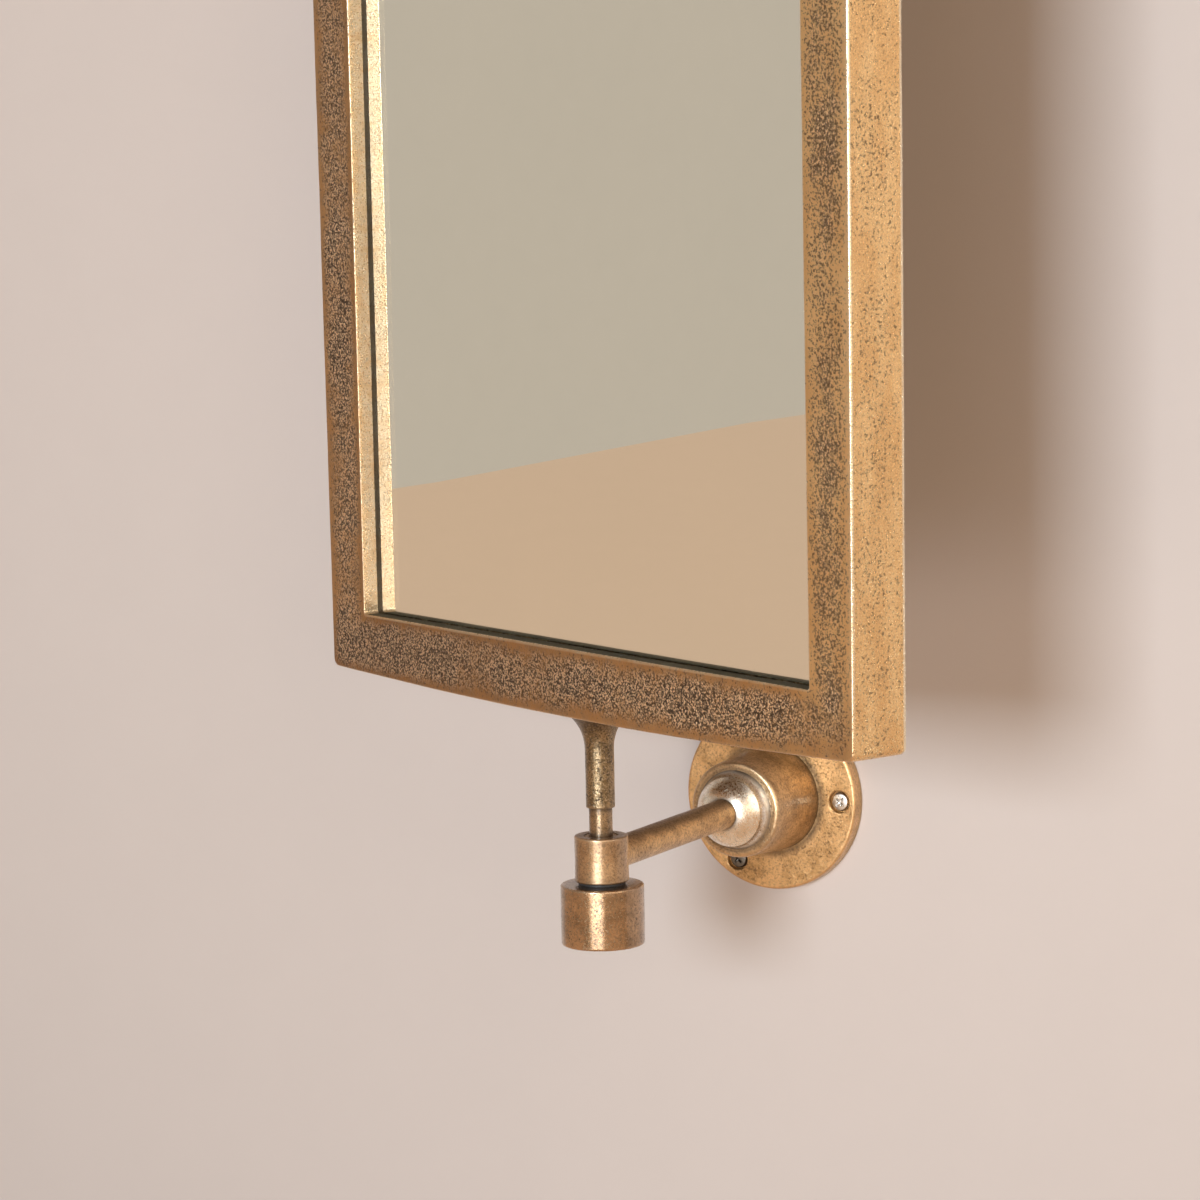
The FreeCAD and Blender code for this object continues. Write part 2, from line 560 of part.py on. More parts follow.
def make_glass(name):
    body = new_body(name)
    sheet_outline = new_sketch(body, "outline", "XZ_Plane", GLASS_BACK)
    draw_outline(sheet_outline, box_corners(
        f"({HALF_WIDTH} - Sizes.stile_width + Sizes.glass_lap)",
        f"({CORNER_FOOT} + Sizes.rail_height - Sizes.glass_lap)",
        f"({CORNER_HEAD} - Sizes.rail_height + Sizes.glass_lap)"))
    pad(body, sheet_outline, "Sizes.glass_thickness")
    return body


def make_packing(name):
    """A strip all round, squeezed between the back of the glass and the panel."""
    body = new_body(name)
    ring = new_sketch(body, "ring", "XZ_Plane", PANEL_FRONT)
    across = f"({HALF_WIDTH} - Sizes.stile_width + Sizes.glass_lap)"
    foot = f"({CORNER_FOOT} + Sizes.rail_height - Sizes.glass_lap)"
    head = f"({CORNER_HEAD} - Sizes.rail_height + Sizes.glass_lap)"
    strip = "Sizes.packing_width"
    draw_outline(ring, box_corners(across, foot, head))
    draw_outline(ring, box_corners(f"({across} - {strip})", f"({foot} + {strip})", f"({head} - {strip})"))
    pad(body, ring, f"{GLASS_BACK} - {PANEL_FRONT}")
    return body


def make_back_panel(name):
    body = new_body(name)
    board = new_sketch(body, "board", "XZ_Plane", f"-{HALF_DEPTH}")
    draw_outline(board, box_corners(
        f"({HALF_WIDTH} - {REBATE_STILE} - Sizes.glass_clearance)",
        f"({CORNER_FOOT} + {REBATE_RAIL} + Sizes.glass_clearance)",
        f"({CORNER_HEAD} - {REBATE_RAIL} - Sizes.glass_clearance)"))
    pad(body, board, "Sizes.panel_thickness")
    return body


def make_clips(name):
    """Soft-cornered plates, each drilled for its screw, lying across the frame and the panel."""
    body = new_body(name)
    plates = new_sketch(body, "plates", "XZ_Plane", f"-({HALF_DEPTH} + Sizes.clip_thickness)")
    half = "(Sizes.clip_width / 2)"
    outer = f"({CLIP_X} + {half})"
    inner = f"({outer} - Sizes.clip_length)"
    for side, height in clip_places():
        left, right = (inner, outer) if side > 0 else (f"-{outer}", f"-{inner}")
        draw_outline(plates, rounded_corners(
            left, right, f"({height} - {half})", f"({height} + {half})", "Sizes.clip_corner_radius"))
        draw_circle(plates, f"{side} * {CLIP_X}", height,
                    "(Sizes.clip_screw_diameter / 2 + Sizes.fixed_clearance)")
    pad(body, plates, "Sizes.clip_thickness")
    return body


def make_clip_screws(name):
    body = new_body(name)
    shanks = new_sketch(body, "shanks", "XZ_Plane", f"-({HALF_DEPTH} + Sizes.clip_thickness)")
    heads = new_sketch(body, "heads", "XZ_Plane",
                       f"-({HALF_DEPTH} + Sizes.clip_thickness + Sizes.clip_head_height)")
    for side, height in clip_places():
        draw_circle(heads, f"{side} * {CLIP_X}", height, "(Sizes.clip_head_diameter / 2)")
        draw_circle(shanks, f"{side} * {CLIP_X}", height, "(Sizes.clip_screw_diameter / 2)")
    pad(body, heads, "Sizes.clip_head_height", "head_pad")
    pad(body, shanks, "Sizes.clip_thickness + Sizes.clip_screw_depth", "shank_pad")
    return body


BRACKET_PIECES = {
    "wall_plate": make_wall_plate,
    "boss": make_boss,
    "dome": make_dome,
    "arm": make_arm,
    "arm_screw": make_arm_screw,
    "wall_screws": make_wall_screws,
}
PIVOT_PIECES = {
    "sleeve": make_sleeve,
    "bush": make_bush,
    "pin": make_pin,
    "stem": make_stem,
    "washer": make_washer,
    "knob": make_knob,
}
LEAF_PIECES = {
    "mirror_frame": make_frame,
    "mirror_glass": make_glass,
    "glass_packing": make_packing,
    "back_panel": make_back_panel,
    "panel_clips": make_clips,
    "clip_screws": make_clip_screws,
}


def build():
    """Make every piece, the wall brackets and pivots once for each end of the mirror."""
    pieces = []
    for end, upper in (("lower", False), ("upper", True)):
        for word, make in BRACKET_PIECES.items():
            piece = make(f"{end}_{word}")
            flip(piece, upper)
            pieces.append(piece)
        for word, make in PIVOT_PIECES.items():
            piece = make(f"{end}_{word}")
            stand_on_pivot(piece, upper)
            pieces.append(piece)
    for name, make in LEAF_PIECES.items():
        piece = make(name)
        hang_on_leaf(piece)
        pieces.append(piece)
    doc.recompute()
    return pieces


def check(pieces):
    """Stop if anything failed to compute, before a file is written."""
    for thing in doc.Objects:
        if "Invalid" in thing.State or "Error" in thing.State:
            raise RuntimeError(f"{thing.Name} failed: {thing.State}")
    for piece in pieces:
        if piece.Shape.isNull() or not piece.Shape.isValid():
            raise RuntimeError(f"{piece.Label} has no valid shape")


def write(pieces):
    os.makedirs("parts", exist_ok=True)
    for piece in pieces:
        piece.Shape.exportStep(f"parts/{piece.Label}.step")


fill_sheet()
mirror_pieces = build()
check(mirror_pieces)
write(mirror_pieces)
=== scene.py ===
"""Looks of a rotating full-length wall mirror: cast brass frame, turned pivots, domed wall brackets.

Metres in the shared frame: the wall is the plane y = 0, the mirror faces -Y and +Z is up.
Sizes are written in millimetres and multiplied by MM where a mesh is made.
"""
import math
import bmesh
import bpy
from mathutils import Matrix, Vector, noise


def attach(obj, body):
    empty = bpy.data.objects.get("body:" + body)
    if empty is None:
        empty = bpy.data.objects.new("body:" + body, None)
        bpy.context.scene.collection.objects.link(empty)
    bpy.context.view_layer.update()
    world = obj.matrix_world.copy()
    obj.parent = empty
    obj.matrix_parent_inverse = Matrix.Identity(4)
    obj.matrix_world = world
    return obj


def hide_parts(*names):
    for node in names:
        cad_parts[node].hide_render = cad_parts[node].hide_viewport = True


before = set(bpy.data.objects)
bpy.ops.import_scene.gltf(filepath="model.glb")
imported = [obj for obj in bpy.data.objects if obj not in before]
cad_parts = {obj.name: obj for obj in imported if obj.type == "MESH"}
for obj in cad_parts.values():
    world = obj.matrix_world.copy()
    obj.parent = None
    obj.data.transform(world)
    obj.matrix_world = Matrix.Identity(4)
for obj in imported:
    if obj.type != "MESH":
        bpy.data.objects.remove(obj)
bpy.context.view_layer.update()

MM = 0.001
FIXED = "wall_brackets"
TURNING = "mirror_leaf"

# Places
REST_ANGLE = math.radians(-24)
ARM_REACH = 155
ARM_SPACING = 1431.6
PIVOT = Matrix.Translation((0, -ARM_REACH * MM, 0))
LEAF = PIVOT @ Matrix.Rotation(REST_ANGLE, 4, "Z")
UPPER_END = Matrix.Translation((0, 0, ARM_SPACING * MM)) @ Matrix.Rotation(math.pi, 4, "Y")
ENDS = {"lower": Matrix.Identity(4), "upper": UPPER_END}
WALL_AXIS = Matrix.Rotation(math.pi / 2, 4, "X")
BACK_AXIS = Matrix.Rotation(-math.pi / 2, 4, "X")

# Mirror frame
HALF_WIDTH, FRAME_FOOT, FRAME_HEAD = 170, 60.8, 1370.8
HALF_HEIGHT = (FRAME_HEAD - FRAME_FOOT) / 2
MIDDLE_LEVEL = (FRAME_HEAD + FRAME_FOOT) / 2
FRAME_FRONT, FRAME_BACK = -13, 13
STILE_WIDTH, RAIL_HEIGHT = 24.6, 24
STILE_BOW, RAIL_BOW = 3, 3.6
OUTER_CORNER, SIGHT_CORNER, REBATE_CORNER = 2.8, 1.5, 1.0
FRONT_ROUND, BACK_ROUND, SIGHT_ROUND = 0.9, 1.3, 0.7
LIP_BACK = -6.2
GLASS_LAP, GLASS_ROOM = 8, 1
GLASS_BACK = -3.24
PANEL_FRONT = 1
SIDE_STATIONS = (104, 386)
CORNER_STEPS = 6
ROUND_STEPS = 4
FACE_ROWS = 8
THIRDS = (0.33, 0.67, 1.0)
FIRST_ROW, DIAGONAL = 0.7, 0.7
CAST_DENT, CAST_WAVE = 0.26, 26
FINE_DENT, FINE_WAVE = 0.09, 8
SIGHT_HALF = HALF_WIDTH - STILE_WIDTH
SIGHT_FOOT, SIGHT_HEAD = FRAME_FOOT + RAIL_HEIGHT, FRAME_HEAD - RAIL_HEIGHT
LEDGE_ROOM, FACING = 0.6, 0.99

# Wear, gilding and painted light of the frame
SIGHT_WEAR, REVEAL_WEAR, BROWN_WEAR = 0.35, 0.45, 0.05
EDGE_ZONE = LIP_BACK - 5
# Golden tone of the faces, which also paints light: the right stile brightest, the rails darker to the left
LEFT_GILT_AND_LIGHT, RIGHT_GILT_AND_LIGHT, RAIL_GILT_AND_LIGHT, RAIL_GILT_AND_LIGHT_RISE = 0.30, 0.92, 0.10, 0.14
STILE_START, STILE_FADE = 128, 26
CORNER_LEAD, CORNER_FADE = 4, 40

# Wall brackets, measured out from the wall
PLATE_RADIUS, PLATE_FRONT = 40, 7.2
SCREW_CIRCLE, SCREW_COUNT = 32.5, 3
# Painted shade on each wall screw in turn, darkest on the third, which the boss shades
SCREW_SPIN, SCREW_SHADE = 0.8, (0.0, 0.3, 0.85)
HEAD_RADIUS, HEAD_SEAT, HEAD_FRONT, NECK_RADIUS = 4.0, 4.2, 6.8, 1.7
THREAD_HOLE, HEAD_BORE, BORE_MOUTH = 2.3, 4.7, 5.05
BORE_FOOT, BORE_HEAD = -2, 9
ARM_RADIUS, ARM_FOOT, ARM_HOLE = 6.35, 5.2, 6.4
ARM_SCREW_HOLE, ARM_SCREW_DEPTH = 4.05, 25.2
SINK_RADIUS, SINK_DEPTH = 8, 3.95
BAR_RINGS, BAR_SEGMENTS, BAR_DENT = 44, 72, 0.14
SADDLE_RUN, SADDLE_ROOM = 9.0, 0.05
BOSS_BASE, BOSS_RING, BOSS_EDGE = 23.0, 20.45, 1.6
CUP_BASE, CUP_RING, CUP_FRONT = 19.0, 16.5, 32.2
BOSS_FRONT, COVE_FRONT, DOME_FRONT = 40.2, 45.8, 51.4
DOME_BASE, DOME_RADIUS, COVE_ROUND, BALL_ROUND = 16.9, 14.7, 7, 19.5

# Pivots, measured along the turning axis from the arm
SLEEVE_RADIUS, SLEEVE_WAIST, SLEEVE_BORE = 10.8, 10.6, 6.8
SLEEVE_FOOT, SLEEVE_HEAD = -8.9, 9.4
BUSH_RADIUS, BUSH_FOOT, BUSH_HEAD = 6.75, -8.6, 9.1
PIN_RADIUS, PIN_HOLE, PIN_FOOT, PIN_HEAD = 4.65, 4.7, -26.1, 69.15
PIN_END_ROOM = 0.05
STEM_RADIUS, STEM_FOOT, STEM_HEAD = 5.85, 20.6, 57.2
FLARE_RADIUS, FLARE_HEIGHT, FLARE_ROUND, FLARE_STEPS = 11.5, 13, 17.78, 10
WASHER_RADIUS, WASHER_HEAD = 9.3, -8.95
KNOB_RADIUS, KNOB_RIM = 16.65, 16.6
KNOB_FOOT, KNOB_MIDDLE, KNOB_HEAD = -34.15, -22, -10.15

# Turned pieces and screw threads
POLE, FAR = 0.001, 99
SEED_STEP = Vector((7.3, -3.1, 1.7))
END_ROWS = (0.4, 1.2)
FINE_SEGMENTS = 144
WEAR_REACH, DENT_WAVE, COATED_RELIEF = 1.1, 13, 0.1
SMOOTH_BORE = PIN_HOLE + 0.2
PITCH_RINGS, RIDGE_SLOPE, TIP_SHARE = 7, 3.2, 0.25
CROSS_TAPER = (0.5, 0.62)

# Clips on the back of the frame
CLIP_X = 161
CLIP_LEVELS = (210.8, 210.8 + 1010 / 3, 210.8 + 2020 / 3, 1220.8)
CLIP_NEAR, CLIP_FAR, CLIP_CORNER = 3, -11, 3
CLIP_THICKNESS, CLIP_ROUND, CLIP_HOLE = 1.5, 0.3, 1.55
RIM_ANGLE = 1.0


# Mesh helpers

def ease(value):
    """Smooth step from 0 to 1."""
    value = max(0.0, min(1.0, value))
    return value * value * (3 - 2 * value)


def wave(spot, length, seed=0):
    """Smooth noise from -1 to 1 whose waves are about length millimetres long."""
    return noise.noise(Vector(spot) / length + SEED_STEP * seed)


def swell(spot, length, seed=0):
    """The same noise from 0 to 1."""
    return 0.5 + 0.5 * wave(spot, length, seed)


def new_mesh(name, points, faces, marks=None):
    """A mesh from points in millimetres, with a float mark on each point for each named list."""
    mesh = bpy.data.meshes.new(name)
    mesh.from_pydata([Vector(point) * MM for point in points], [], faces)
    for word, values in (marks or {}).items():
        mesh.attributes.new(word, "FLOAT", "POINT").data.foreach_set("value", values)
    return mesh


def link_piece(name, mesh, place=None, sharp_angle=38):
    """A linked object with outward faces, smooth shading, sharp corners and weighted normals."""
    if place is not None:
        mesh.transform(place)
    shaper = bmesh.new()
    shaper.from_mesh(mesh)
    bmesh.ops.recalc_face_normals(shaper, faces=shaper.faces)
    shaper.to_mesh(mesh)
    shaper.free()
    mesh.polygons.foreach_set("use_smooth", [True] * len(mesh.polygons))
    mesh.set_sharp_from_angle(angle=math.radians(sharp_angle))
    piece = bpy.data.objects.new(name, mesh)
    bpy.context.scene.collection.objects.link(piece)
    normals = piece.modifiers.new("weighted_normals", "WEIGHTED_NORMAL")
    normals.keep_sharp = True
    return piece


def rounded_corner(before, corner, after, radius):
    """Points of the arc that replaces a corner of a profile."""
    spot = Vector(corner)
    to_before = (Vector(before) - spot).normalized()
    to_after = (Vector(after) - spot).normalized()
    half = to_before.angle(to_after) / 2
    centre = spot + (to_before + to_after).normalized() * (radius / math.sin(half))
    start = spot + to_before * (radius / math.tan(half)) - centre
    end = spot + to_after * (radius / math.tan(half)) - centre
    sweep = start.angle(end)
    shares = [step / ROUND_STEPS for step in range(ROUND_STEPS + 1)]
    return [tuple(centre + (start * math.sin((1 - t) * sweep) + end * math.sin(t * sweep)) / math.sin(sweep))
            for t in shares]


def between(start, end, longest):
    """Points after start and before end: two close to each end, the rest evenly spaced."""
    length = math.dist(start, end)
    count = max(1, math.ceil(length / longest))
    shares = {step / count for step in range(1, count)}
    for near in END_ROWS:
        if length > 4 * near:
            shares |= {near / length, 1 - near / length}
    return [tuple(Vector(start).lerp(Vector(end), share)) for share in sorted(shares)]


def bulge(start, end, radius, steps=8):
    """Points of an arc from start to end: bent left of the way, or right if the radius is negative."""
    a, b = Vector(start), Vector(end)
    way = b - a
    side = Vector((-way.y, way.x)).normalized()
    reach = math.sqrt(radius ** 2 - (way.length / 2) ** 2)
    centre = (a + b) / 2 - side * math.copysign(reach, radius)
    first = a - centre
    turn_by = first.angle(b - centre) * (-1 if radius > 0 else 1)
    points = []
    for step in range(steps + 1):
        angle = turn_by * step / steps
        points.append((centre.x + first.x * math.cos(angle) - first.y * math.sin(angle),
                       centre.y + first.x * math.sin(angle) + first.y * math.cos(angle)))
    return points


def profile_points(corners, closed, longest):
    """Points along a profile of (radius, height[, rounding]) corners, and the corners that are rounded."""
    runs, edges = [], []
    for number, corner in enumerate(corners):
        spot = tuple(corner[:2])
        if len(corner) > 2:
            after = corners[(number + 1) % len(corners)]
            runs.append(rounded_corner(corners[number - 1][:2], spot, after[:2], corner[2]))
            edges.append(spot)
        else:
            runs.append([spot])
    points = []
    for number, run in enumerate(runs):
        points += run
        if closed or number < len(runs) - 1:
            points += between(run[-1], runs[(number + 1) % len(runs)][0], longest)
    return points, edges


def edge_wear(spot, edges, reach):
    """1 on a rounded edge of the profile, falling away from it."""
    nearest = min((math.dist(spot, edge) for edge in edges), default=FAR)
    return math.exp(-(nearest / reach) ** 2)


def grid_faces(rows, closed=False):
    """Faces between rings of points, where a ring of one point is a pole."""
    faces = []
    pairs = list(zip(rows, rows[1:])) + ([(rows[-1], rows[0])] if closed else [])
    for low, high in pairs:
        around = max(len(low), len(high))
        for step in range(around):
            nxt = (step + 1) % around
            ring = [low[step % len(low)], low[nxt % len(low)], high[nxt % len(high)], high[step % len(high)]]
            face = list(dict.fromkeys(ring))
            if len(face) > 2:
                faces.append(face)
    return faces


def ring_angles(rows, points, radius, segments):
    """Open a ring of points, or a pole where the radius is 0, and give the angle of each point."""
    around = segments if radius > POLE else 1
    rows.append(range(len(points), len(points) + around))
    return [2 * math.pi * step / segments for step in range(around)]


def lathe(name, corners, place, closed=False, segments=96, longest=3.0, uneven=0.0, seed=0, grime_and_shade=()):
    """A piece turned about local Z from (radius, height[, rounding]) corners, a little uneven all round.

    Each (radius, height, reach) in grime is a ring darkened by dirt and painted shade.
    """
    profile, edges = profile_points(corners, closed, longest)
    points, wear, dirt_and_shade, rows = [], [], [], []
    for radius, height in profile:
        for angle in ring_angles(rows, points, radius, segments):
            spot = Vector((radius * math.cos(angle), radius * math.sin(angle), height))
            dent = uneven * swell(spot, DENT_WAVE, seed) if radius > SMOOTH_BORE else 0
            shrink = 1 - dent / max(radius, 1)
            points.append((spot.x * shrink, spot.y * shrink, height))
            wear.append(edge_wear((radius, height), edges, WEAR_REACH))
            rings = [edge_wear((radius, height), [ring[:2]], ring[2]) for ring in grime_and_shade]
            dirt_and_shade.append(max(rings, default=0.0))
    mesh = new_mesh(name, points, grid_faces(rows, closed), {"wear": wear, "grime_and_shade": dirt_and_shade})
    return link_piece(name, mesh, place)


def ordered_mesh(name, shaper):
    """A mesh of the shaper's faces in an order that is the same in each run."""
    corners = sorted(shaper.verts, key=lambda vertex: tuple(vertex.co))
    for number, vertex in enumerate(corners):
        vertex.index = number
    faces = []
    for face in shaper.faces:
        ring = [vertex.index for vertex in face.verts]
        # A quad starts at one of two corners, so that its diagonal stays
        step = {3: 1, 4: 2}.get(len(ring), len(ring))
        first = min(range(0, len(ring), step), key=lambda corner: ring[corner])
        faces.append(ring[first:] + ring[:first])
    mesh = bpy.data.meshes.new(name)
    mesh.from_pydata([vertex.co for vertex in corners], [], sorted(faces))
    return mesh


def rounded_board(name, shaper, axis, level, rounding):
    """A mesh of the shaper's flat faces drawn out along an axis to a level, with rounded rims."""
    grown = bmesh.ops.extrude_face_region(shaper, geom=shaper.faces[:])
    for vertex in grown["geom"]:
        if isinstance(vertex, bmesh.types.BMVert):
            vertex.co[axis] = level * MM
    bmesh.ops.recalc_face_normals(shaper, faces=shaper.faces)
    rims = [edge for edge in shaper.edges if edge.calc_face_angle(0.0) > RIM_ANGLE]
    bmesh.ops.bevel(shaper, geom=rims, offset=rounding * MM, segments=3, profile=0.5, affect="EDGES")
    mesh = ordered_mesh(name, shaper)
    shaper.free()
    return mesh


def cut(piece, cutters):
    """Take the cutters out of a piece and delete them."""
    piece.modifiers.clear()
    for cutter in cutters:
        boolean = piece.modifiers.new("cut", "BOOLEAN")
        boolean.operation = "DIFFERENCE"
        boolean.solver = "EXACT"
        boolean.object = cutter
    bpy.context.view_layer.update()
    mesh = bpy.data.meshes.new_from_object(piece.evaluated_get(bpy.context.evaluated_depsgraph_get()))
    name = piece.name
    for used in [piece, *cutters]:
        bpy.data.objects.remove(used)
    return link_piece(name, mesh)


def copies(name, model, places, shade_per_copy=()):
    """One piece of copies of a model at several places, each with its listed painted shade; the model is
    deleted.
    """
    shaper = bmesh.new()
    grime_and_shade = []
    for number, place in enumerate(places):
        mesh = model.data.copy()
        mesh.transform(place)
        shaper.from_mesh(mesh)
        marked = mesh.attributes.get("grime_and_shade")
        recess = [spot.value for spot in marked.data] if marked else [0.0] * len(mesh.vertices)
        grime_and_shade += [max(value, shade_per_copy[number] if shade_per_copy else 0.0) for value in recess]
        bpy.data.meshes.remove(mesh)
    joined = bpy.data.meshes.new(name)
    shaper.to_mesh(joined)
    shaper.free()
    marked = joined.attributes.get("grime_and_shade") or joined.attributes.new("grime_and_shade", "FLOAT", "POINT")
    marked.data.foreach_set("value", grime_and_shade)
    bpy.data.objects.remove(model)
    return link_piece(name, joined)


def dress(piece, material, body, node):
    """Give a piece its material, the body that it rides on and the node that it stands for."""
    piece.data.materials.clear()
    piece.data.materials.append(material)
    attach(piece, body)
    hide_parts(node)


# Material helpers

class Nodes:
    """Short ways to add nodes to the node tree of a material or a world."""

    def __init__(self, owner):
        owner.use_nodes = True
        self.tree = owner.node_tree

    def feed(self, socket, value):
        """Link a socket to an output, or set it to a constant."""
        if isinstance(value, bpy.types.NodeSocket):
            self.tree.links.new(value, socket)
        else:
            socket.default_value = value

    def add(self, kind, inputs=None, **settings):
        """A new node with these settings and with inputs fed by name or number."""
        made = self.tree.nodes.new(kind)
        for word, value in settings.items():
            setattr(made, word, value)
        for key, value in (inputs or {}).items():
            self.feed(made.inputs[key], value)
        return made

    def calc(self, operation, a, b=0.0, c=0.0):
        """A Math node on outputs and numbers."""
        return self.add("ShaderNodeMath", {0: a, 1: b, 2: c}, operation=operation).outputs["Value"]

    def blend(self, share, first, second):
        """Mix two colours by a share of the second."""
        inputs = {"Fac": share}
        for word, colour in (("Color1", first), ("Color2", second)):
            inputs[word] = colour if isinstance(colour, bpy.types.NodeSocket) else (*colour, 1)
        return self.add("ShaderNodeMixRGB", inputs).outputs["Color"]

    def seen(self, rays):
        """1 on rays to the eye, straight or by way of metal and glass."""
        either = self.calc("MAXIMUM", rays["Is Camera Ray"], rays["Is Glossy Ray"])
        return self.calc("MAXIMUM", either, rays["Is Transmission Ray"])


class Shader(Nodes):
    """A material with one Principled shader, textured in the object's coordinates."""

    def __init__(self, name):
        self.material = bpy.data.materials.new(name)
        super().__init__(self.material)
        self.principled = self.tree.nodes["Principled BSDF"]
        self.place = self.add("ShaderNodeTexCoord").outputs["Object"]

    def set(self, **inputs):
        """Feed inputs of the Principled shader, with _ for each space in a name."""
        for word, value in inputs.items():
            self.feed(self.principled.inputs[word.replace("_", " ")], value)

    def stretched(self, factors):
        """The object's coordinates with each axis scaled."""
        return self.add("ShaderNodeMapping", {"Scale": factors, "Vector": self.place}).outputs["Vector"]

    def noise(self, size, detail=2.0, roughness=0.5, place=None, distortion=0.0):
        """Noise round 0.5 whose grains are about size millimetres across."""
        inputs = {"Vector": place or self.place, "Scale": 1 / (size * MM), "Detail": detail,
                  "Roughness": roughness, "Distortion": distortion}
        return self.add("ShaderNodeTexNoise", inputs).outputs["Fac"]

    def cells(self, size):
        """Distance to the nearest of scattered points about size millimetres apart."""
        inputs = {"Vector": self.place, "Scale": 1 / (size * MM)}
        return self.add("ShaderNodeTexVoronoi", inputs).outputs["Distance"]

    def mark(self, word):
        """A float mark that the mesh carries on its points."""
        return self.add("ShaderNodeAttribute", attribute_name=word).outputs["Fac"]

    def span(self, value, low, high, to_low=0.0, to_high=1.0):
        """Map low..high smoothly to to_low..to_high and hold it there."""
        inputs = {"Value": value, "From Min": low, "From Max": high, "To Min": to_low, "To Max": to_high}
        return self.add("ShaderNodeMapRange", inputs, interpolation_type="SMOOTHSTEP").outputs["Result"]

    def bump(self, height, depth):
        """A normal bumped by a height that stands for depth millimetres at 1."""
        return self.add("ShaderNodeBump", {"Distance": depth * MM, "Height": height}).outputs["Normal"]


# Metals, glass, plastics and board

def frame_brass():
    """Sand-cast brass under brown patina: salt-and-pepper grain, golden flanks, smooth ochre by the edges."""
    s = Shader("frame_brass")
    band, flank, wear, gilt_and_lit = (s.mark(word) for word in ("band", "flank", "wear", "gilt_and_lit"))
    patches = s.noise(38, 3.0, 0.55, distortion=0.4)
    clouds = s.noise(8, 3.0, 0.6)
    streaks = s.noise(9, 2.0, 0.5, s.stretched((1.0, 1.0, 0.3)))
    grain = s.noise(1.15, 3.0, 0.70)
    fine = s.noise(0.85, 2.0, 0.65, s.stretched((-1.0, 1.0, 1.0)))
    granules = s.calc("MULTIPLY_ADD", fine, -1.1, s.calc("ADD", s.cells(0.88), 0.55))

    # Specks crowd in patches and clouds, and along the middle of each face
    crowd = s.calc("MULTIPLY_ADD", patches, 1.5, s.calc("MULTIPLY_ADD", band, 0.80, -0.92))
    crowd = s.calc("MULTIPLY_ADD", clouds, 0.9, s.calc("MULTIPLY_ADD", flank, -0.05, crowd))
    pitted = s.calc("MULTIPLY_ADD", gilt_and_lit, -0.01, s.calc("MULTIPLY_ADD", crowd, -0.12, grain))
    pits = s.span(pitted, 0.385, 0.30)
    speckled = s.span(s.calc("MULTIPLY_ADD", gilt_and_lit, -0.75, crowd), 0.20, 1.05)

    # Colours from under to over: metal, salt and pepper, painted shade, pits, worn edges with painted
    # highlight
    ochre = s.blend(s.span(clouds, 0.36, 0.64), (0.43, 0.20, 0.062), (0.31, 0.155, 0.062))
    gold = s.blend(s.span(streaks, 0.36, 0.66), (0.84, 0.54, 0.25), (0.93, 0.64, 0.32))
    # Golden where gilt and on the flanks; on the faces this also paints light, brightest on the right stile
    metal = s.blend(s.calc("MAXIMUM", gilt_and_lit, flank), ochre, gold)
    salt = s.blend(s.span(granules, 0.515, 0.58), (0.98, 0.69, 0.425), (0.025, 0.013, 0.006))
    metal = s.blend(s.calc("MULTIPLY", speckled, 0.9), metal, salt)
    # Painted shade: the least golden faces darkened, most on the left of the rails, never on the flanks
    shade = s.calc("MULTIPLY", s.span(gilt_and_lit, 0.05, 0.40, 0.36, 0.0), s.span(flank, 0.0, 1.0, 1.0, 0.0))
    metal = s.blend(shade, metal, (0.12, 0.055, 0.022))
    pit_share = s.calc("MULTIPLY", pits, s.span(flank, 0.0, 1.0, 0.77, 0.75))
    metal = s.blend(pit_share, metal, (0.08, 0.043, 0.022))
    # Pale worn colour, which on the right stile's front arris also paints a highlight
    worn_and_lit = s.calc("MULTIPLY", wear, s.span(clouds, 0.30, 0.55, 0.5, 1.0))
    s.set(Base_Color=s.blend(worn_and_lit, metal, (0.95, 0.82, 0.60)), Metallic=1.0)
    s.set(Coat_Weight=0.35, Coat_Roughness=0.3)
    rough = s.calc("MULTIPLY_ADD", pits, 0.16, s.span(fine, 0.35, 0.65, 0.42, 0.32))
    rough = s.calc("MULTIPLY_ADD", flank, -0.09, rough)
    s.set(Roughness=s.calc("MULTIPLY_ADD", worn_and_lit, -0.08, rough))

    # Relief of granules, soft swells and pits, flatter where worn
    grit = s.calc("MULTIPLY_ADD", speckled, -1.1, -0.35)
    relief = s.calc("MULTIPLY", s.calc("SUBTRACT", granules, 0.5), grit)
    swells = s.calc("MULTIPLY_ADD", clouds, 0.6, s.calc("ADD", relief, -0.3))
    relief = s.calc("MULTIPLY_ADD", pits, -1.2, swells)
    flattened = s.calc("MULTIPLY_ADD", wear, -1.5, 1.0)
    uneven = s.bump(s.calc("MULTIPLY", relief, flattened), 0.32)
    s.set(Normal=uneven, Coat_Normal=uneven)
    return s.material


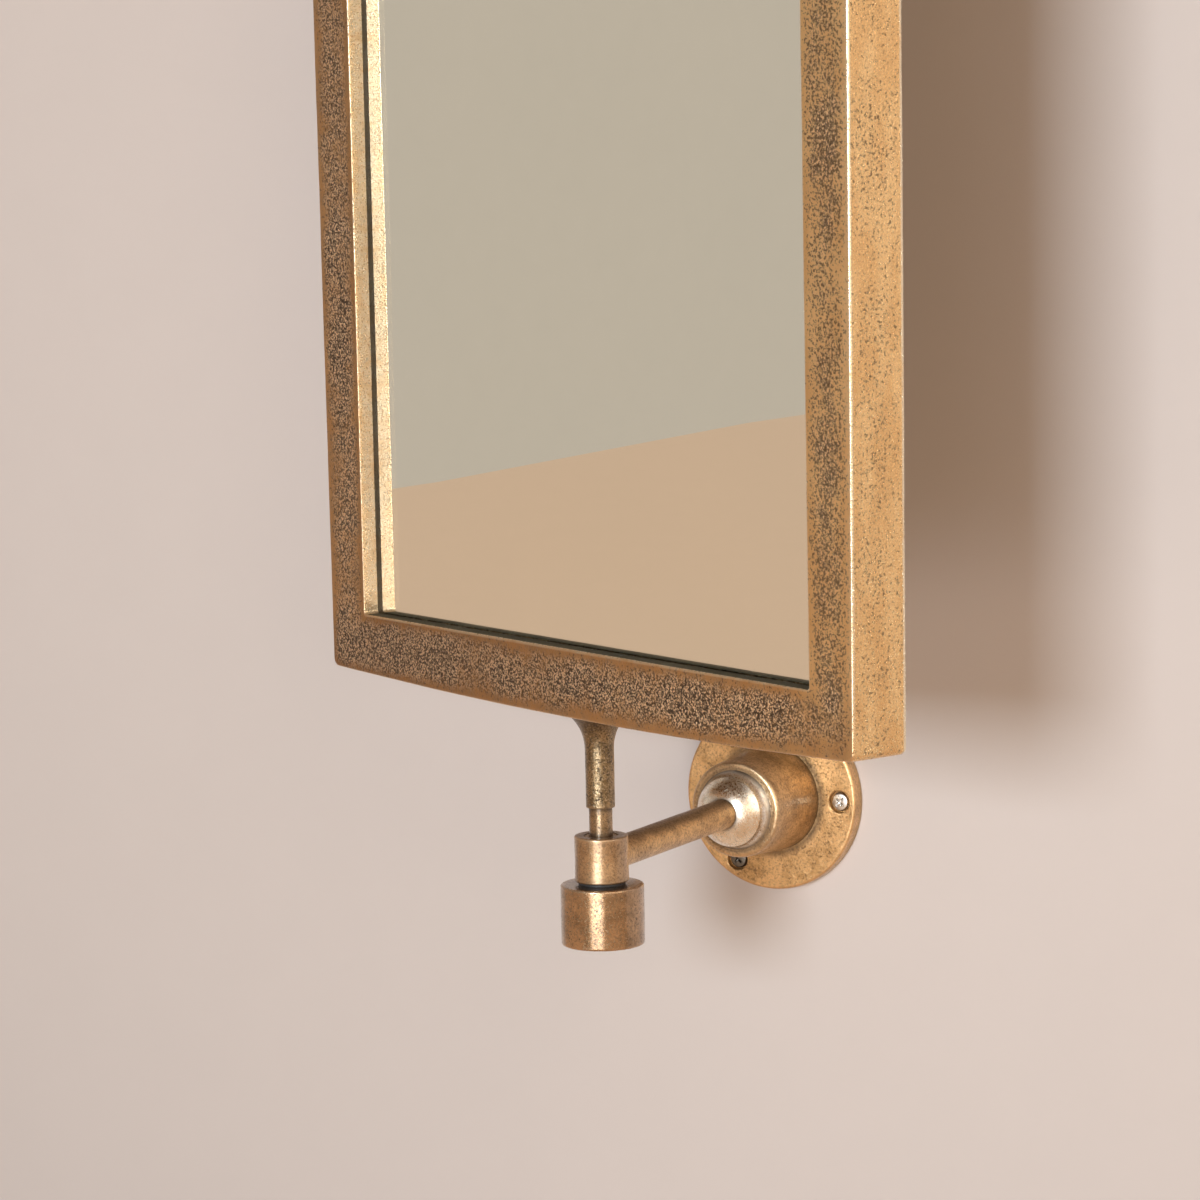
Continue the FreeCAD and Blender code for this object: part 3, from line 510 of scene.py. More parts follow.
def brass(name, clean, dull, roughness, speckle, depth, coat=0.7, gloss=0.17):
    """Lacquered turned brass: tarnish clouds, fine speckle, pits, dirt and painted shade where marked, bright
    edges.
    """
    s = Shader(name)
    wear, grime_and_shade = s.mark("wear"), s.mark("grime_and_shade")
    clouds = s.noise(10, 4.0, 0.6, distortion=0.3)
    grain = s.noise(0.95, 4.0, 0.72)
    flecking = s.noise(0.85, 3.0, 0.70, s.stretched((-1.0, 1.0, 1.0)))
    pits = s.span(s.calc("MULTIPLY_ADD", clouds, -0.22, grain), 0.30, 0.22)
    dark = tuple(0.30 * channel for channel in dull)
    bright = tuple(min(0.97, 1.10 * channel + 0.08) for channel in clean)
    metal = s.blend(s.span(clouds, 0.38, 0.64), clean, dull)
    metal = s.blend(s.span(grain, 0.55, 0.38, 0.0, speckle), metal, dark)
    metal = s.blend(s.span(flecking, 0.50, 0.66, 0.0, 0.7 * speckle), metal, bright)
    metal = s.blend(s.calc("MULTIPLY", pits, 0.45), metal, (0.10, 0.065, 0.045))
    metal = s.blend(s.calc("MULTIPLY", wear, 0.5), metal, bright)
    # Darkened in the marked rings and strips: dirt and painted shade where parts meet or shade each other
    soiled_and_shaded = s.calc("MULTIPLY", grime_and_shade, s.span(clouds, 0.30, 0.60, 0.95, 0.70))
    s.set(Base_Color=s.blend(soiled_and_shaded, metal, (0.085, 0.055, 0.035)), Metallic=1.0)
    rough = s.span(grain, 0.35, 0.65, roughness + 0.08, roughness - 0.04)
    s.set(Roughness=s.calc("MULTIPLY_ADD", soiled_and_shaded, 0.2, s.calc("MULTIPLY_ADD", clouds, 0.06, rough)))
    relief = s.calc("MULTIPLY_ADD", clouds, 2.0, s.calc("MULTIPLY_ADD", pits, -0.8, grain))
    uneven = s.bump(relief, depth)
    s.set(Normal=uneven, Coat_Weight=coat, Coat_Roughness=gloss)
    if depth > COATED_RELIEF:
        s.set(Coat_Normal=uneven)
    return s.material


def clear_glass():
    """Clear float glass with a faint green body."""
    s = Shader("clear_glass")
    smears = s.noise(60, 2.0, 0.5)
    s.set(Base_Color=(0.955, 0.98, 0.965, 1), Transmission_Weight=1.0, IOR=1.52)
    s.set(Roughness=s.span(smears, 0.45, 0.8, 0.0, 0.01))
    return s.material


def silvering():
    """Silver film on the back of the glass, very slightly uneven."""
    s = Shader("silvering")
    clouds = s.noise(90, 2.0, 0.5)
    s.set(Base_Color=s.blend(clouds, (0.96, 0.96, 0.94), (0.92, 0.93, 0.91)), Metallic=1.0, Roughness=0.0)
    return s.material


def plain(name, size, first, second, roughness, depth):
    """Plastic, foam or board: two close tones, uneven gloss and a fine relief."""
    s = Shader(name)
    grain = s.noise(size, 4.0, 0.65)
    clouds = s.noise(size * 22, 3.0, 0.55)
    tone = s.calc("MULTIPLY_ADD", grain, 0.6, s.calc("MULTIPLY", clouds, 0.4))
    s.set(Base_Color=s.blend(s.span(tone, 0.36, 0.64), first, second))
    s.set(Roughness=s.span(grain, 0.3, 0.7, roughness - 0.08, roughness + 0.08), Normal=s.bump(grain, depth))
    return s.material


def steel(name, clean, dull, roughness):
    """Plated steel of screws and clips, with fine scratches and dull spots."""
    s = Shader(name)
    scratches = s.noise(0.5, 2.0, 0.6, s.stretched((1.0, 1.0, 0.12)))
    clouds = s.noise(2.4, 3.0, 0.6)
    grime_and_shade = s.mark("grime_and_shade")
    metal = s.blend(s.span(clouds, 0.42, 0.62), clean, dull)
    # Darkened by the mark: painted shade in cross recesses and on shaded screws
    s.set(Base_Color=s.blend(grime_and_shade, metal, (0.085, 0.065, 0.042)), Metallic=1.0)
    rough = s.span(clouds, 0.35, 0.65, roughness - 0.05, roughness + 0.10)
    s.set(Roughness=s.calc("MULTIPLY_ADD", grime_and_shade, 0.12, rough))
    s.set(Normal=s.bump(scratches, 0.015))
    return s.material


# Mirror leaf

def soft_rectangle(half_across, foot, head, corner):
    """Stations round a soft-cornered rectangle, anticlockwise from its foot; every size has as many."""
    middle, half_up = (foot + head) / 2, (head - foot) / 2
    spots = []
    for side in range(4):
        upright = side % 2
        half = (half_up if upright else half_across) - corner
        sign = 1 if side < 2 else -1
        for step in range(SIDE_STATIONS[upright] + 1):
            along = sign * half * (2 * step / SIDE_STATIONS[upright] - 1)
            if upright:
                spots.append((sign * half_across, middle + along))
            else:
                spots.append((along, middle - sign * half_up))
        centre_x = (half_across - corner) * (1 if side in (0, 1) else -1)
        centre_z = middle + (half_up - corner) * (1 if side in (1, 2) else -1)
        for step in range(1, CORNER_STEPS):
            angle = (side - 1 + step / CORNER_STEPS) * math.pi / 2
            spots.append((centre_x + corner * math.cos(angle), centre_z + corner * math.sin(angle)))
    return spots


def bowed(spot):
    """Move a station of the corner rectangle out to the frame's bowed outline."""
    across = spot[0] / HALF_WIDTH
    up = (spot[1] - MIDDLE_LEVEL) / HALF_HEIGHT
    return (spot[0] + STILE_BOW * (1 - up ** 2) * across, spot[1] + RAIL_BOW * (1 - across ** 2) * up)


def frame_section(width, lap):
    """Section of the frame as (outward from the sight edge, depth, inward push, wear, band, flank)."""
    spots = []

    def spot(across, depth, push=(0, 0), wear=0.0, band=0.0, flank=0.0):
        spots.append((across, depth, push, wear, band, flank))

    def arc(across, depth, radius, start, push, flanks, wear=1.0):
        for step in range(ROUND_STEPS + 1):
            share = step / ROUND_STEPS
            angle = start - share * math.pi / 2
            flank = flanks[0] + (flanks[1] - flanks[0]) * share
            spot(across + radius * math.cos(angle), depth - radius * math.sin(angle), push, wear, flank=flank)

    # Sight edge, face and front edge
    arc(SIGHT_ROUND, FRAME_FRONT + SIGHT_ROUND, SIGHT_ROUND, math.pi,
        (DIAGONAL, DIAGONAL), (0.7, 0.0), SIGHT_WEAR)
    inner, outer = SIGHT_ROUND + FIRST_ROW, width - FRONT_ROUND - FIRST_ROW
    for row in range(FACE_ROWS + 1):
        share = row / FACE_ROWS
        wear = 0.3 if row == FACE_ROWS else 0.0
        spot(inner + (outer - inner) * share, FRAME_FRONT, (0, 1), wear, math.sin(math.pi * share) ** 0.45)
    arc(width - FRONT_ROUND, FRAME_FRONT + FRONT_ROUND, FRONT_ROUND, math.pi / 2,
        (-DIAGONAL, DIAGONAL), (0.0, 1.0))

    # Flank and back edge
    front, back = FRAME_FRONT + FRONT_ROUND + FIRST_ROW, FRAME_BACK - BACK_ROUND - FIRST_ROW
    for row in range(FACE_ROWS + 1):
        share = row / FACE_ROWS
        spot(width, front + (back - front) * share, (-1, 0), 0.0, 0.35 * math.sin(math.pi * share), 1.0)
    arc(width - BACK_ROUND, FRAME_BACK - BACK_ROUND, BACK_ROUND, 0.0, (-DIAGONAL, -DIAGONAL), (1.0, 0.5))

    # Back, rebate, lip and reveal
    spot(width - BACK_ROUND - FIRST_ROW, FRAME_BACK, (0, -1), 0.2, 0.1, 0.4)
    for share in THIRDS:
        spot(width - BACK_ROUND + (lap - width + BACK_ROUND) * share, FRAME_BACK, band=0.3, flank=0.4)
    for share in THIRDS:
        spot(lap, FRAME_BACK + (LIP_BACK - FRAME_BACK) * share, flank=0.2)
    spot(lap / 2, LIP_BACK, flank=0.2)
    spot(0, LIP_BACK, wear=REVEAL_WEAR, flank=0.3)
    spot(0, (LIP_BACK + FRAME_FRONT) / 2, (0.6, 0), REVEAL_WEAR, flank=0.3)
    return spots


def gilding_and_light(x, z):
    """Golden tone and painted light: rails brown, darker leftward; left stile between; right stile brightest.
    """
    on_stile = ease((abs(x) - STILE_START) / STILE_FADE)
    from_end = min(z - FRAME_FOOT, FRAME_HEAD - z)
    stile = LEFT_GILT_AND_LIGHT if x < 0 else RIGHT_GILT_AND_LIGHT
    rail = RAIL_GILT_AND_LIGHT + RAIL_GILT_AND_LIGHT_RISE * (x / HALF_WIDTH + 1)
    return rail + (stile - rail) * on_stile * ease((from_end + CORNER_LEAD) / CORNER_FADE)


def make_frame(look, ledge_shade_look):
    """The cast frame, swept round its bowed outline, with painted shade on the ledge under the glass."""
    lap = GLASS_LAP + GLASS_ROOM
    outer = [bowed(spot) for spot in soft_rectangle(HALF_WIDTH, FRAME_FOOT, FRAME_HEAD, OUTER_CORNER)]
    sight = soft_rectangle(SIGHT_HALF, SIGHT_FOOT, SIGHT_HEAD, SIGHT_CORNER)
    rebate = soft_rectangle(SIGHT_HALF + lap, SIGHT_FOOT - lap, SIGHT_HEAD + lap, REBATE_CORNER)
    points, rows = [], []
    marks = {"wear": [], "band": [], "flank": [], "gilt_and_lit": []}
    for out_spot, sight_spot, rebate_spot in zip(outer, sight, rebate):
        across = Vector(out_spot) - Vector(sight_spot)
        out = across.normalized()
        section = frame_section(across.length, math.dist(rebate_spot, sight_spot))
        rows.append(range(len(points), len(points) + len(section)))
        for along, depth, push, wear, band, flank in section:
            x, z = Vector(sight_spot) + out * along
            dent = CAST_DENT * swell((x, depth, z), CAST_WAVE)
            dent += FINE_DENT * swell((x, depth, z), FINE_WAVE, 2)
            points.append((x + out.x * push[0] * dent, depth + push[1] * dent, z + out.y * push[0] * dent))
            gilt_and_lit = gilding_and_light(x, z)
            # Front edges take the pale worn colour by how golden the face is, which paints a highlight on the
            # right stile's arris
            on_front_edge = depth < EDGE_ZONE and along > lap
            worn_and_lit = wear * (BROWN_WEAR + (1 - BROWN_WEAR) * gilt_and_lit ** 2) if on_front_edge else wear
            for values, value in zip(marks.values(), (worn_and_lit, band, flank, gilt_and_lit)):
                values.append(value)
    mesh = new_mesh("cast_frame", points, grid_faces(rows, True), marks)
    piece = link_piece("cast_frame", mesh, LEAF, sharp_angle=50)
    dress(piece, look, TURNING, "mirror_frame")
    piece.data.materials.append(ledge_shade_look)
    # Painted shade: the upward faces of the ledge at the foot of the glass take the dark dull material
    for face in piece.data.polygons:
        at_ledge = abs(face.center.z / MM - SIGHT_FOOT) < LEDGE_ROOM
        face.material_index = 1 if at_ledge and face.normal.z > FACING else 0


def slab(name, front, back, rounding, columns, rows):
    """A flat board in the rebate, with rounded rims."""
    half_across = SIGHT_HALF + GLASS_LAP
    half_up = HALF_HEIGHT - RAIL_HEIGHT + GLASS_LAP
    shaper = bmesh.new()
    bmesh.ops.create_grid(shaper, x_segments=columns, y_segments=rows, size=1)
    for vertex in shaper.verts:
        x, z = vertex.co.x * half_across, MIDDLE_LEVEL + vertex.co.y * half_up
        vertex.co = (x * MM, front * MM, z * MM)
    return link_piece(name, rounded_board(name, shaper, 1, back, rounding), LEAF)


def make_glass(front_look, back_look):
    """Mirror glass: clear front and ground edges over a silvered back."""
    piece = slab("mirror_sheet", LIP_BACK, GLASS_BACK, rounding=0.4, columns=6, rows=20)
    dress(piece, front_look, TURNING, "mirror_glass")
    piece.data.materials.append(back_look)
    backward = LEAF.to_3x3() @ Vector((0, 1, 0))
    for face in piece.data.polygons:
        face.material_index = 1 if face.normal.dot(backward) > FACING else 0
    piece.visible_diffuse = False


def clip_places():
    """Matrices of the clips down one side of the frame and the other, each pointing to its edge."""
    places = []
    for side in (-1, 1):
        for level in CLIP_LEVELS:
            spot = Matrix.Translation((side * CLIP_X * MM, FRAME_BACK * MM, level * MM))
            places.append(LEAF @ spot @ BACK_AXIS @ Matrix.Rotation(0 if side > 0 else math.pi, 4, "Z"))
    return places


def make_clips(clip_look, screw_look):
    """Spring-steel plates that lap the back board, each with a cross-head screw."""
    shaper = bmesh.new()
    outline = []
    for quarter, (end, side) in enumerate(((CLIP_NEAR, 1), (CLIP_FAR, 1), (CLIP_FAR, -1), (CLIP_NEAR, -1))):
        for step in range(CORNER_STEPS + 1):
            angle = (quarter + step / CORNER_STEPS) * math.pi / 2
            x, y = end + CLIP_CORNER * math.cos(angle), side * CLIP_CORNER + CLIP_CORNER * math.sin(angle)
            outline.append(shaper.verts.new((x * MM, y * MM, 0)))
    shaper.faces.new(outline)
    mesh = rounded_board("clip", shaper, 2, CLIP_THICKNESS, CLIP_ROUND)
    hole = lathe("hole", [(0, -1), (CLIP_HOLE, -1), (CLIP_HOLE, 3), (0, 3)], Matrix.Identity(4), segments=32)
    clip = cut(link_piece("clip", mesh), [hole])
    dress(copies("clip_plates", clip, clip_places()), clip_look, TURNING, "panel_clips")
    pan_head = [(0, 3.3), (1.6, 3.25, 0.8), (3.0, 2.4, 0.5), (3.0, 1.5, 0.1), (1.5, 1.5)]
    screw = threaded_screw("clip_screw", pan_head, crest=1.5, core=1.15, pitch=0.6, start=1.3, tip=-6)
    screw = cut(screw, [cross_cutter(reach=1.7, half=0.36, top=3.4, bottom=2.2)])
    dress(copies("clip_pan_screws", screw, clip_places()), screw_look, TURNING, "clip_screws")


# Screws

def threaded_screw(name, head, crest, core, pitch, start, tip, point=3.0, segments=32):
    """A screw from its head profile down a spiral thread to a point; heights in millimetres."""
    profile, _ = profile_points(head, False, 1.0)
    rows, points = [], []

    def ring(height, radius_at):
        for step, angle in enumerate(ring_angles(rows, points, radius_at(0.0), segments)):
            radius = radius_at(step / segments)
            points.append((radius * math.cos(angle), radius * math.sin(angle), height))

    for radius, height in profile:
        ring(height, lambda share, r=radius: r)
    steps = math.ceil((start - tip) / (pitch / PITCH_RINGS))
    for step in range(1, steps):
        height = start + (tip - start) * step / steps
        fade = min(1.0, (start - height) / pitch) * min(1.0, max(0.05, (height - tip) / point))
        thick = core * (TIP_SHARE + (1 - TIP_SHARE) * min(1.0, (height - tip) / point))

        def spiral(share, height=height, fade=fade, thick=thick):
            phase = (height / pitch - share) % 1
            ridge = max(0.0, 1 - abs(phase - 0.5) * RIDGE_SLOPE)
            return thick + (crest - core) * ridge * fade
        ring(height, spiral)
    ring(tip, lambda share: 0.0)
    return link_piece(name, new_mesh(name, points, grid_faces(rows)))


def cross_cutter(reach, half, top, bottom):
    """A tapered cross that cuts a screw's recess and marks its walls for painted shade and dirt."""
    outline = [(reach, -half), (reach, half), (half, half),
               (half, reach), (-half, reach), (-half, half),
               (-reach, half), (-reach, -half), (-half, -half),
               (-half, -reach), (half, -reach), (half, -half)]
    count = len(outline)
    points = [(x, y, top) for x, y in outline]
    points += [(x * CROSS_TAPER[0], y * CROSS_TAPER[1], bottom) for x, y in outline]
    faces = [list(range(count)), list(range(2 * count - 1, count - 1, -1))]
    for number in range(count):
        nxt = (number + 1) % count
        faces.append([number, number + count, nxt + count, nxt])
    return link_piece("cross", new_mesh("cross", points, faces, {"grime_and_shade": [1.0] * len(points)}))


def hex_cutter(across, top, bottom):
    """A six-sided prism that cuts a key socket."""
    corner = across / math.sqrt(3)
    rows, points = [], []
    for radius, height in ((0, bottom), (corner, bottom), (corner, top), (0, top)):
        for angle in ring_angles(rows, points, radius, 6):
            points.append((radius * math.cos(angle), radius * math.sin(angle), height))
    return link_piece("hex", new_mesh("hex", points, grid_faces(rows)))


def wall_screw_places(place, spin):
    """Matrices of the wall screws round the plate, each turned by its own angle."""
    places = []
    for number in range(SCREW_COUNT):
        angle = 2 * math.pi * number / SCREW_COUNT
        x, y = SCREW_CIRCLE * math.cos(angle) * MM, SCREW_CIRCLE * math.sin(angle) * MM
        spot = Matrix.Translation((x, y, 0))
        places.append(place @ WALL_AXIS @ spot @ Matrix.Rotation(spin * (number + 1), 4, "Z"))
    return places


# Wall brackets and pivots, once for each end

def make_plate(end, look, screw_look):
    """The wall plate with its counterbored holes, and the wood screws in them."""
    wall = ENDS[end] @ WALL_AXIS
    disc = [(SINK_RADIUS, 0), (PLATE_RADIUS, 0, 0.4), (PLATE_RADIUS, PLATE_FRONT, 1.1),
            (ARM_HOLE, PLATE_FRONT), (ARM_HOLE, ARM_FOOT),
            (ARM_SCREW_HOLE, ARM_FOOT), (ARM_SCREW_HOLE, SINK_DEPTH)]
    # Dirt and painted shade in a ring round the foot of the boss
    plate = lathe(f"{end}_plate", disc, wall, True, FINE_SEGMENTS, uneven=0.08,
                  grime_and_shade=((23.6, PLATE_FRONT, 1.3),))
    bore = [(0, BORE_FOOT), (THREAD_HOLE, BORE_FOOT), (THREAD_HOLE, HEAD_SEAT), (HEAD_BORE, HEAD_SEAT),
            (HEAD_BORE, PLATE_FRONT - 0.35), (BORE_MOUTH, PLATE_FRONT + 0.02), (BORE_MOUTH, BORE_HEAD),
            (0, BORE_HEAD)]
    cutters = [lathe("bore", bore, spot, segments=48, longest=20) for spot in wall_screw_places(ENDS[end], 0)]
    dress(cut(plate, cutters), look, FIXED, f"{end}_wall_plate")

    head = [(0, HEAD_FRONT), (1.8, HEAD_FRONT - 0.02), (3.55, HEAD_FRONT - 0.3, 0.6),
            (HEAD_RADIUS, HEAD_SEAT + 1.3, 0.4), (HEAD_RADIUS, HEAD_SEAT, 0.15),
            (NECK_RADIUS, HEAD_SEAT), (NECK_RADIUS, 0.2)]
    screw = threaded_screw("wall_screw", head, crest=2.1, core=1.35, pitch=2.0, start=0, tip=-35,
                           point=7.0, segments=40)
    screw = cut(screw, [cross_cutter(reach=2.3, half=0.5, top=HEAD_FRONT + 0.2, bottom=HEAD_FRONT - 1.5)])
    # Each wall screw gets its listed share of painted shade
    screws = copies(f"{end}_wood_screws", screw, wall_screw_places(ENDS[end], SCREW_SPIN), SCREW_SHADE)
    dress(screws, screw_look, FIXED, f"{end}_wall_screws")


def make_arm_screw(end, look):
    """Countersunk machine screw with a key socket, from the back of the plate into the arm."""
    head = [(0, -0.4), (7.5, -0.4, 0.25), (4.1, -3.9), (4.0, -4.4)]
    screw = threaded_screw("arm_screw", head, crest=3.95, core=3.35, pitch=1.25, start=-4.6, tip=-24.7,
                           point=1.0, segments=40)
    screw = cut(screw, [hex_cutter(across=5, top=1, bottom=-3.4)])
    turned_round = WALL_AXIS @ Matrix.Rotation(math.pi, 4, "X")
    screw = copies(f"{end}_socket_screw", screw, [ENDS[end] @ turned_round])
    dress(screw, look, FIXED, f"{end}_arm_screw")


def make_boss(end, look, dome_lit_look):
    """The hollow tapered cup on the plate, and the coved dome on its front."""
    wall = ENDS[end] @ WALL_AXIS
    cup = [(ARM_HOLE, BOSS_FRONT), (BOSS_RING, BOSS_FRONT, BOSS_EDGE), (BOSS_BASE, PLATE_FRONT),
           (CUP_BASE, PLATE_FRONT), (CUP_RING, CUP_FRONT), (ARM_HOLE, CUP_FRONT)]
    # Dirt and painted shade where the cup stands on the plate and round the dome's foot
    boss = lathe(f"{end}_boss_cup", cup, wall, True, FINE_SEGMENTS, uneven=0.08, seed=3,
                 grime_and_shade=((BOSS_BASE, PLATE_FRONT, 1.8), (17.2, BOSS_FRONT, 0.9)))
    dress(boss, look, FIXED, f"{end}_boss")
    cove = bulge((DOME_BASE, BOSS_FRONT), (DOME_RADIUS, COVE_FRONT), COVE_ROUND)
    ball = bulge((DOME_RADIUS, COVE_FRONT), (ARM_HOLE, DOME_FRONT), -BALL_ROUND)
    # Dirt and painted shade round the dome's foot and where the arm goes in
    dome = lathe(f"{end}_dome_cap", [(ARM_HOLE, BOSS_FRONT), *cove, *ball[1:]], wall, True, FINE_SEGMENTS,
                 longest=1.5, uneven=0.06, seed=4,
                 grime_and_shade=((DOME_BASE, BOSS_FRONT, 1.3), (ARM_HOLE, DOME_FRONT, 1.0)))
    dress(dome, dome_lit_look, FIXED, f"{end}_dome")


def make_arm(end, look):
    """The arm's bar, bored for its screw and coped round the sleeve with a little rough braze."""
    seed = 1 if end == "lower" else 5
    rows, points, wear, dirt_and_shade = [], [], [], []

    def ring(radius, height_at, lumps=0.0):
        for angle in ring_angles(rows, points, radius, BAR_SEGMENTS):
            x, y = math.cos(angle), math.sin(angle)
            rough = radius + lumps * (0.55 + 0.9 * wave((x * 7, y * 7, 3), 4, seed))
            height = height_at(rough * x)
            if radius == ARM_RADIUS and not lumps:
                rough -= BAR_DENT * swell((x * 6, y * 6, height), 12, seed)
            points.append((rough * x, rough * y, height))
            wear.append(0.4 * lumps)
            # Painted shade and dark reflection along one side of the bar: the top of the lower arm, under the
            # frame
            dirt_and_shade.append(0.75 * ease((y - 0.45 + 0.25 * wave((x * 6, y * 6, height), 9, seed)) / 0.5))

    def saddle(x):
        return ARM_REACH - math.sqrt(SLEEVE_RADIUS ** 2 - x ** 2) + SADDLE_ROOM

    for radius, height in ((0, ARM_SCREW_DEPTH), (ARM_SCREW_HOLE, ARM_SCREW_DEPTH),
                           (ARM_SCREW_HOLE, ARM_FOOT), (ARM_RADIUS, ARM_FOOT)):
        ring(radius, lambda x, h=height: h)
    straight_end = ARM_REACH - SLEEVE_RADIUS - SADDLE_RUN
    for step in range(1, BAR_RINGS + 1):
        ring(ARM_RADIUS, lambda x, h=ARM_FOOT + (straight_end - ARM_FOOT) * step / BAR_RINGS: h)
    for share in (0.3, 0.5, 0.65, 0.76, 0.84, 0.90, 0.95, 1.0):
        lumps = 0.95 * ease((share - 0.72) / 0.28)
        ring(ARM_RADIUS, lambda x, s=share: straight_end + (saddle(x) - straight_end) * s, lumps)
    for radius in (5.0, 3.2, 1.5, 0):
        ring(radius, saddle)
    mesh = new_mesh("arm", points, grid_faces(rows), {"wear": wear, "grime_and_shade": dirt_and_shade})
    piece = link_piece(f"{end}_arm_bar", mesh, ENDS[end] @ WALL_AXIS)
    dress(piece, look, FIXED, f"{end}_arm")


def make_pivot(end, looks):
    """The fixed sleeve and bush, and the pin, stem, washer and knob that turn with the mirror."""
    axis = PIVOT @ ENDS[end]
    seed = 6 if end == "lower" else 11
    tube = [(SLEEVE_BORE, SLEEVE_FOOT), (SLEEVE_RADIUS, SLEEVE_FOOT, 0.6), (SLEEVE_WAIST, 0),
            (SLEEVE_RADIUS, SLEEVE_HEAD, 0.6), (SLEEVE_BORE, SLEEVE_HEAD)]
    # Dirt and painted shade round the bore at both ends of the sleeve
    sleeve = lathe(f"{end}_pivot_sleeve", tube, axis, True, uneven=0.06, seed=seed,
                   grime_and_shade=((7.6, SLEEVE_HEAD, 2.2), (7, SLEEVE_FOOT, 3.2)))
    dress(sleeve, looks["sleeve"], FIXED, f"{end}_sleeve")

    bearing = [(PIN_HOLE, BUSH_FOOT), (BUSH_RADIUS, BUSH_FOOT, 0.2), (BUSH_RADIUS, BUSH_HEAD, 0.3),
               (PIN_HOLE, BUSH_HEAD, 0.2)]
    bush = lathe(f"{end}_bearing", bearing, axis, True)
    dress(bush, looks["bush"], FIXED, f"{end}_bush")

    bar = [(0, PIN_FOOT), (PIN_RADIUS, PIN_FOOT, 0.5), (PIN_RADIUS, PIN_HEAD, 0.5), (0, PIN_HEAD)]
    # Dirt and painted shade on the pin where it leaves the sleeve and enters the stem
    pin = lathe(f"{end}_pivot_pin", bar, axis, longest=1.0,
                grime_and_shade=((PIN_RADIUS, SLEEVE_HEAD + 0.4, 1.0), (PIN_RADIUS, STEM_FOOT - 0.4, 1.0)))
    dress(pin, looks["pin"], TURNING, f"{end}_pin")

    flare_foot = (STEM_RADIUS, STEM_HEAD - FLARE_HEIGHT)
    flare = bulge(flare_foot, (FLARE_RADIUS, STEM_HEAD), FLARE_ROUND, FLARE_STEPS)
    flared = [(PIN_HOLE, STEM_FOOT), (STEM_RADIUS, STEM_FOOT, 0.5), *flare, (PIN_HOLE, STEM_HEAD)]
    # Painted shade over the top of the flare under the frame, and dirt and shade at the stem's foot
    stem = lathe(f"{end}_stem_tube", flared, axis, True, uneven=0.22, seed=seed + 1,
                 grime_and_shade=((12, STEM_HEAD, 6.0), (5, STEM_FOOT, 0.7)))
    dress(stem, looks["stem"], TURNING, f"{end}_stem")

    thrust = [(PIN_HOLE, KNOB_HEAD), (WASHER_RADIUS, KNOB_HEAD, 0.3), (WASHER_RADIUS, WASHER_HEAD, 0.3),
              (PIN_HOLE, WASHER_HEAD)]
    washer = lathe(f"{end}_thrust_washer", thrust, axis, True)
    dress(washer, looks["nylon"], TURNING, f"{end}_washer")

    socket = PIN_FOOT - PIN_END_ROOM
    cap = [(0, socket), (PIN_HOLE, socket), (PIN_HOLE, KNOB_HEAD), (KNOB_RIM, KNOB_HEAD, 0.7),
           (KNOB_RADIUS, KNOB_MIDDLE), (KNOB_RIM, KNOB_FOOT, 0.7), (0, KNOB_FOOT)]
    # Painted shadow of the sleeve on the knob's top, with dirt
    knob = lathe(f"{end}_end_knob", cap, axis, uneven=0.06, seed=seed + 2, grime_and_shade=((11, KNOB_HEAD, 4.2),))
    dress(knob, looks["knob"], TURNING, f"{end}_knob")


# Stage, light and camera

WALL_COLOUR = (0.66, 0.59, 0.555)
FLOOR_COLOUR = (0.72, 0.505, 0.35)
SIDE_COLOUR = (0.56, 0.475, 0.385)
FLOOR_LEVEL = -0.25
SIDE_NEAR, SIDE_FAR = (-2.978, 0.0), (-9.0, -5.41)
TOUCHING = 0.003


def stage_paint(name, colour, glow):
    """Matte paint, clear from behind and to metal lying on it; glow evens it for eye and mirror."""
    s = Shader(name)
    mottle = s.noise(40, 3.0, 0.55)
    paint = s.blend(mottle, colour, tuple(0.97 * channel for channel in colour))
    s.set(Base_Color=paint, Roughness=0.9, Specular_IOR_Level=0.1)
    rays = s.add("ShaderNodeLightPath").outputs
    touching = s.calc("MULTIPLY", rays["Is Glossy Ray"], s.calc("LESS_THAN", rays["Ray Length"], TOUCHING))
    behind = s.calc("MAXIMUM", s.add("ShaderNodeNewGeometry").outputs["Backfacing"], touching)
    even = s.add("ShaderNodeEmission", {"Color": paint}).outputs["Emission"]
    clear = s.add("ShaderNodeBsdfTransparent").outputs["BSDF"]
    chosen = s.principled.outputs["BSDF"]
    for share, other in ((s.calc("MULTIPLY", s.seen(rays), glow), even), (behind, clear)):
        chosen = s.add("ShaderNodeMixShader", {0: share, 1: chosen, 2: other}).outputs["Shader"]
    s.feed(s.tree.nodes["Material Output"].inputs["Surface"], chosen)
    return s.material


def stage_plane(name, corners, colour, glow=0.0):
    """A flat stage piece whose corners run anticlockwise as seen from its painted side."""
    mesh = bpy.data.meshes.new(name)
    mesh.from_pydata(corners, [], [range(len(corners))])
    mesh.materials.append(stage_paint(name, colour, glow))
    piece = bpy.data.objects.new(name, mesh)
    bpy.context.scene.collection.objects.link(piece)
    return piece


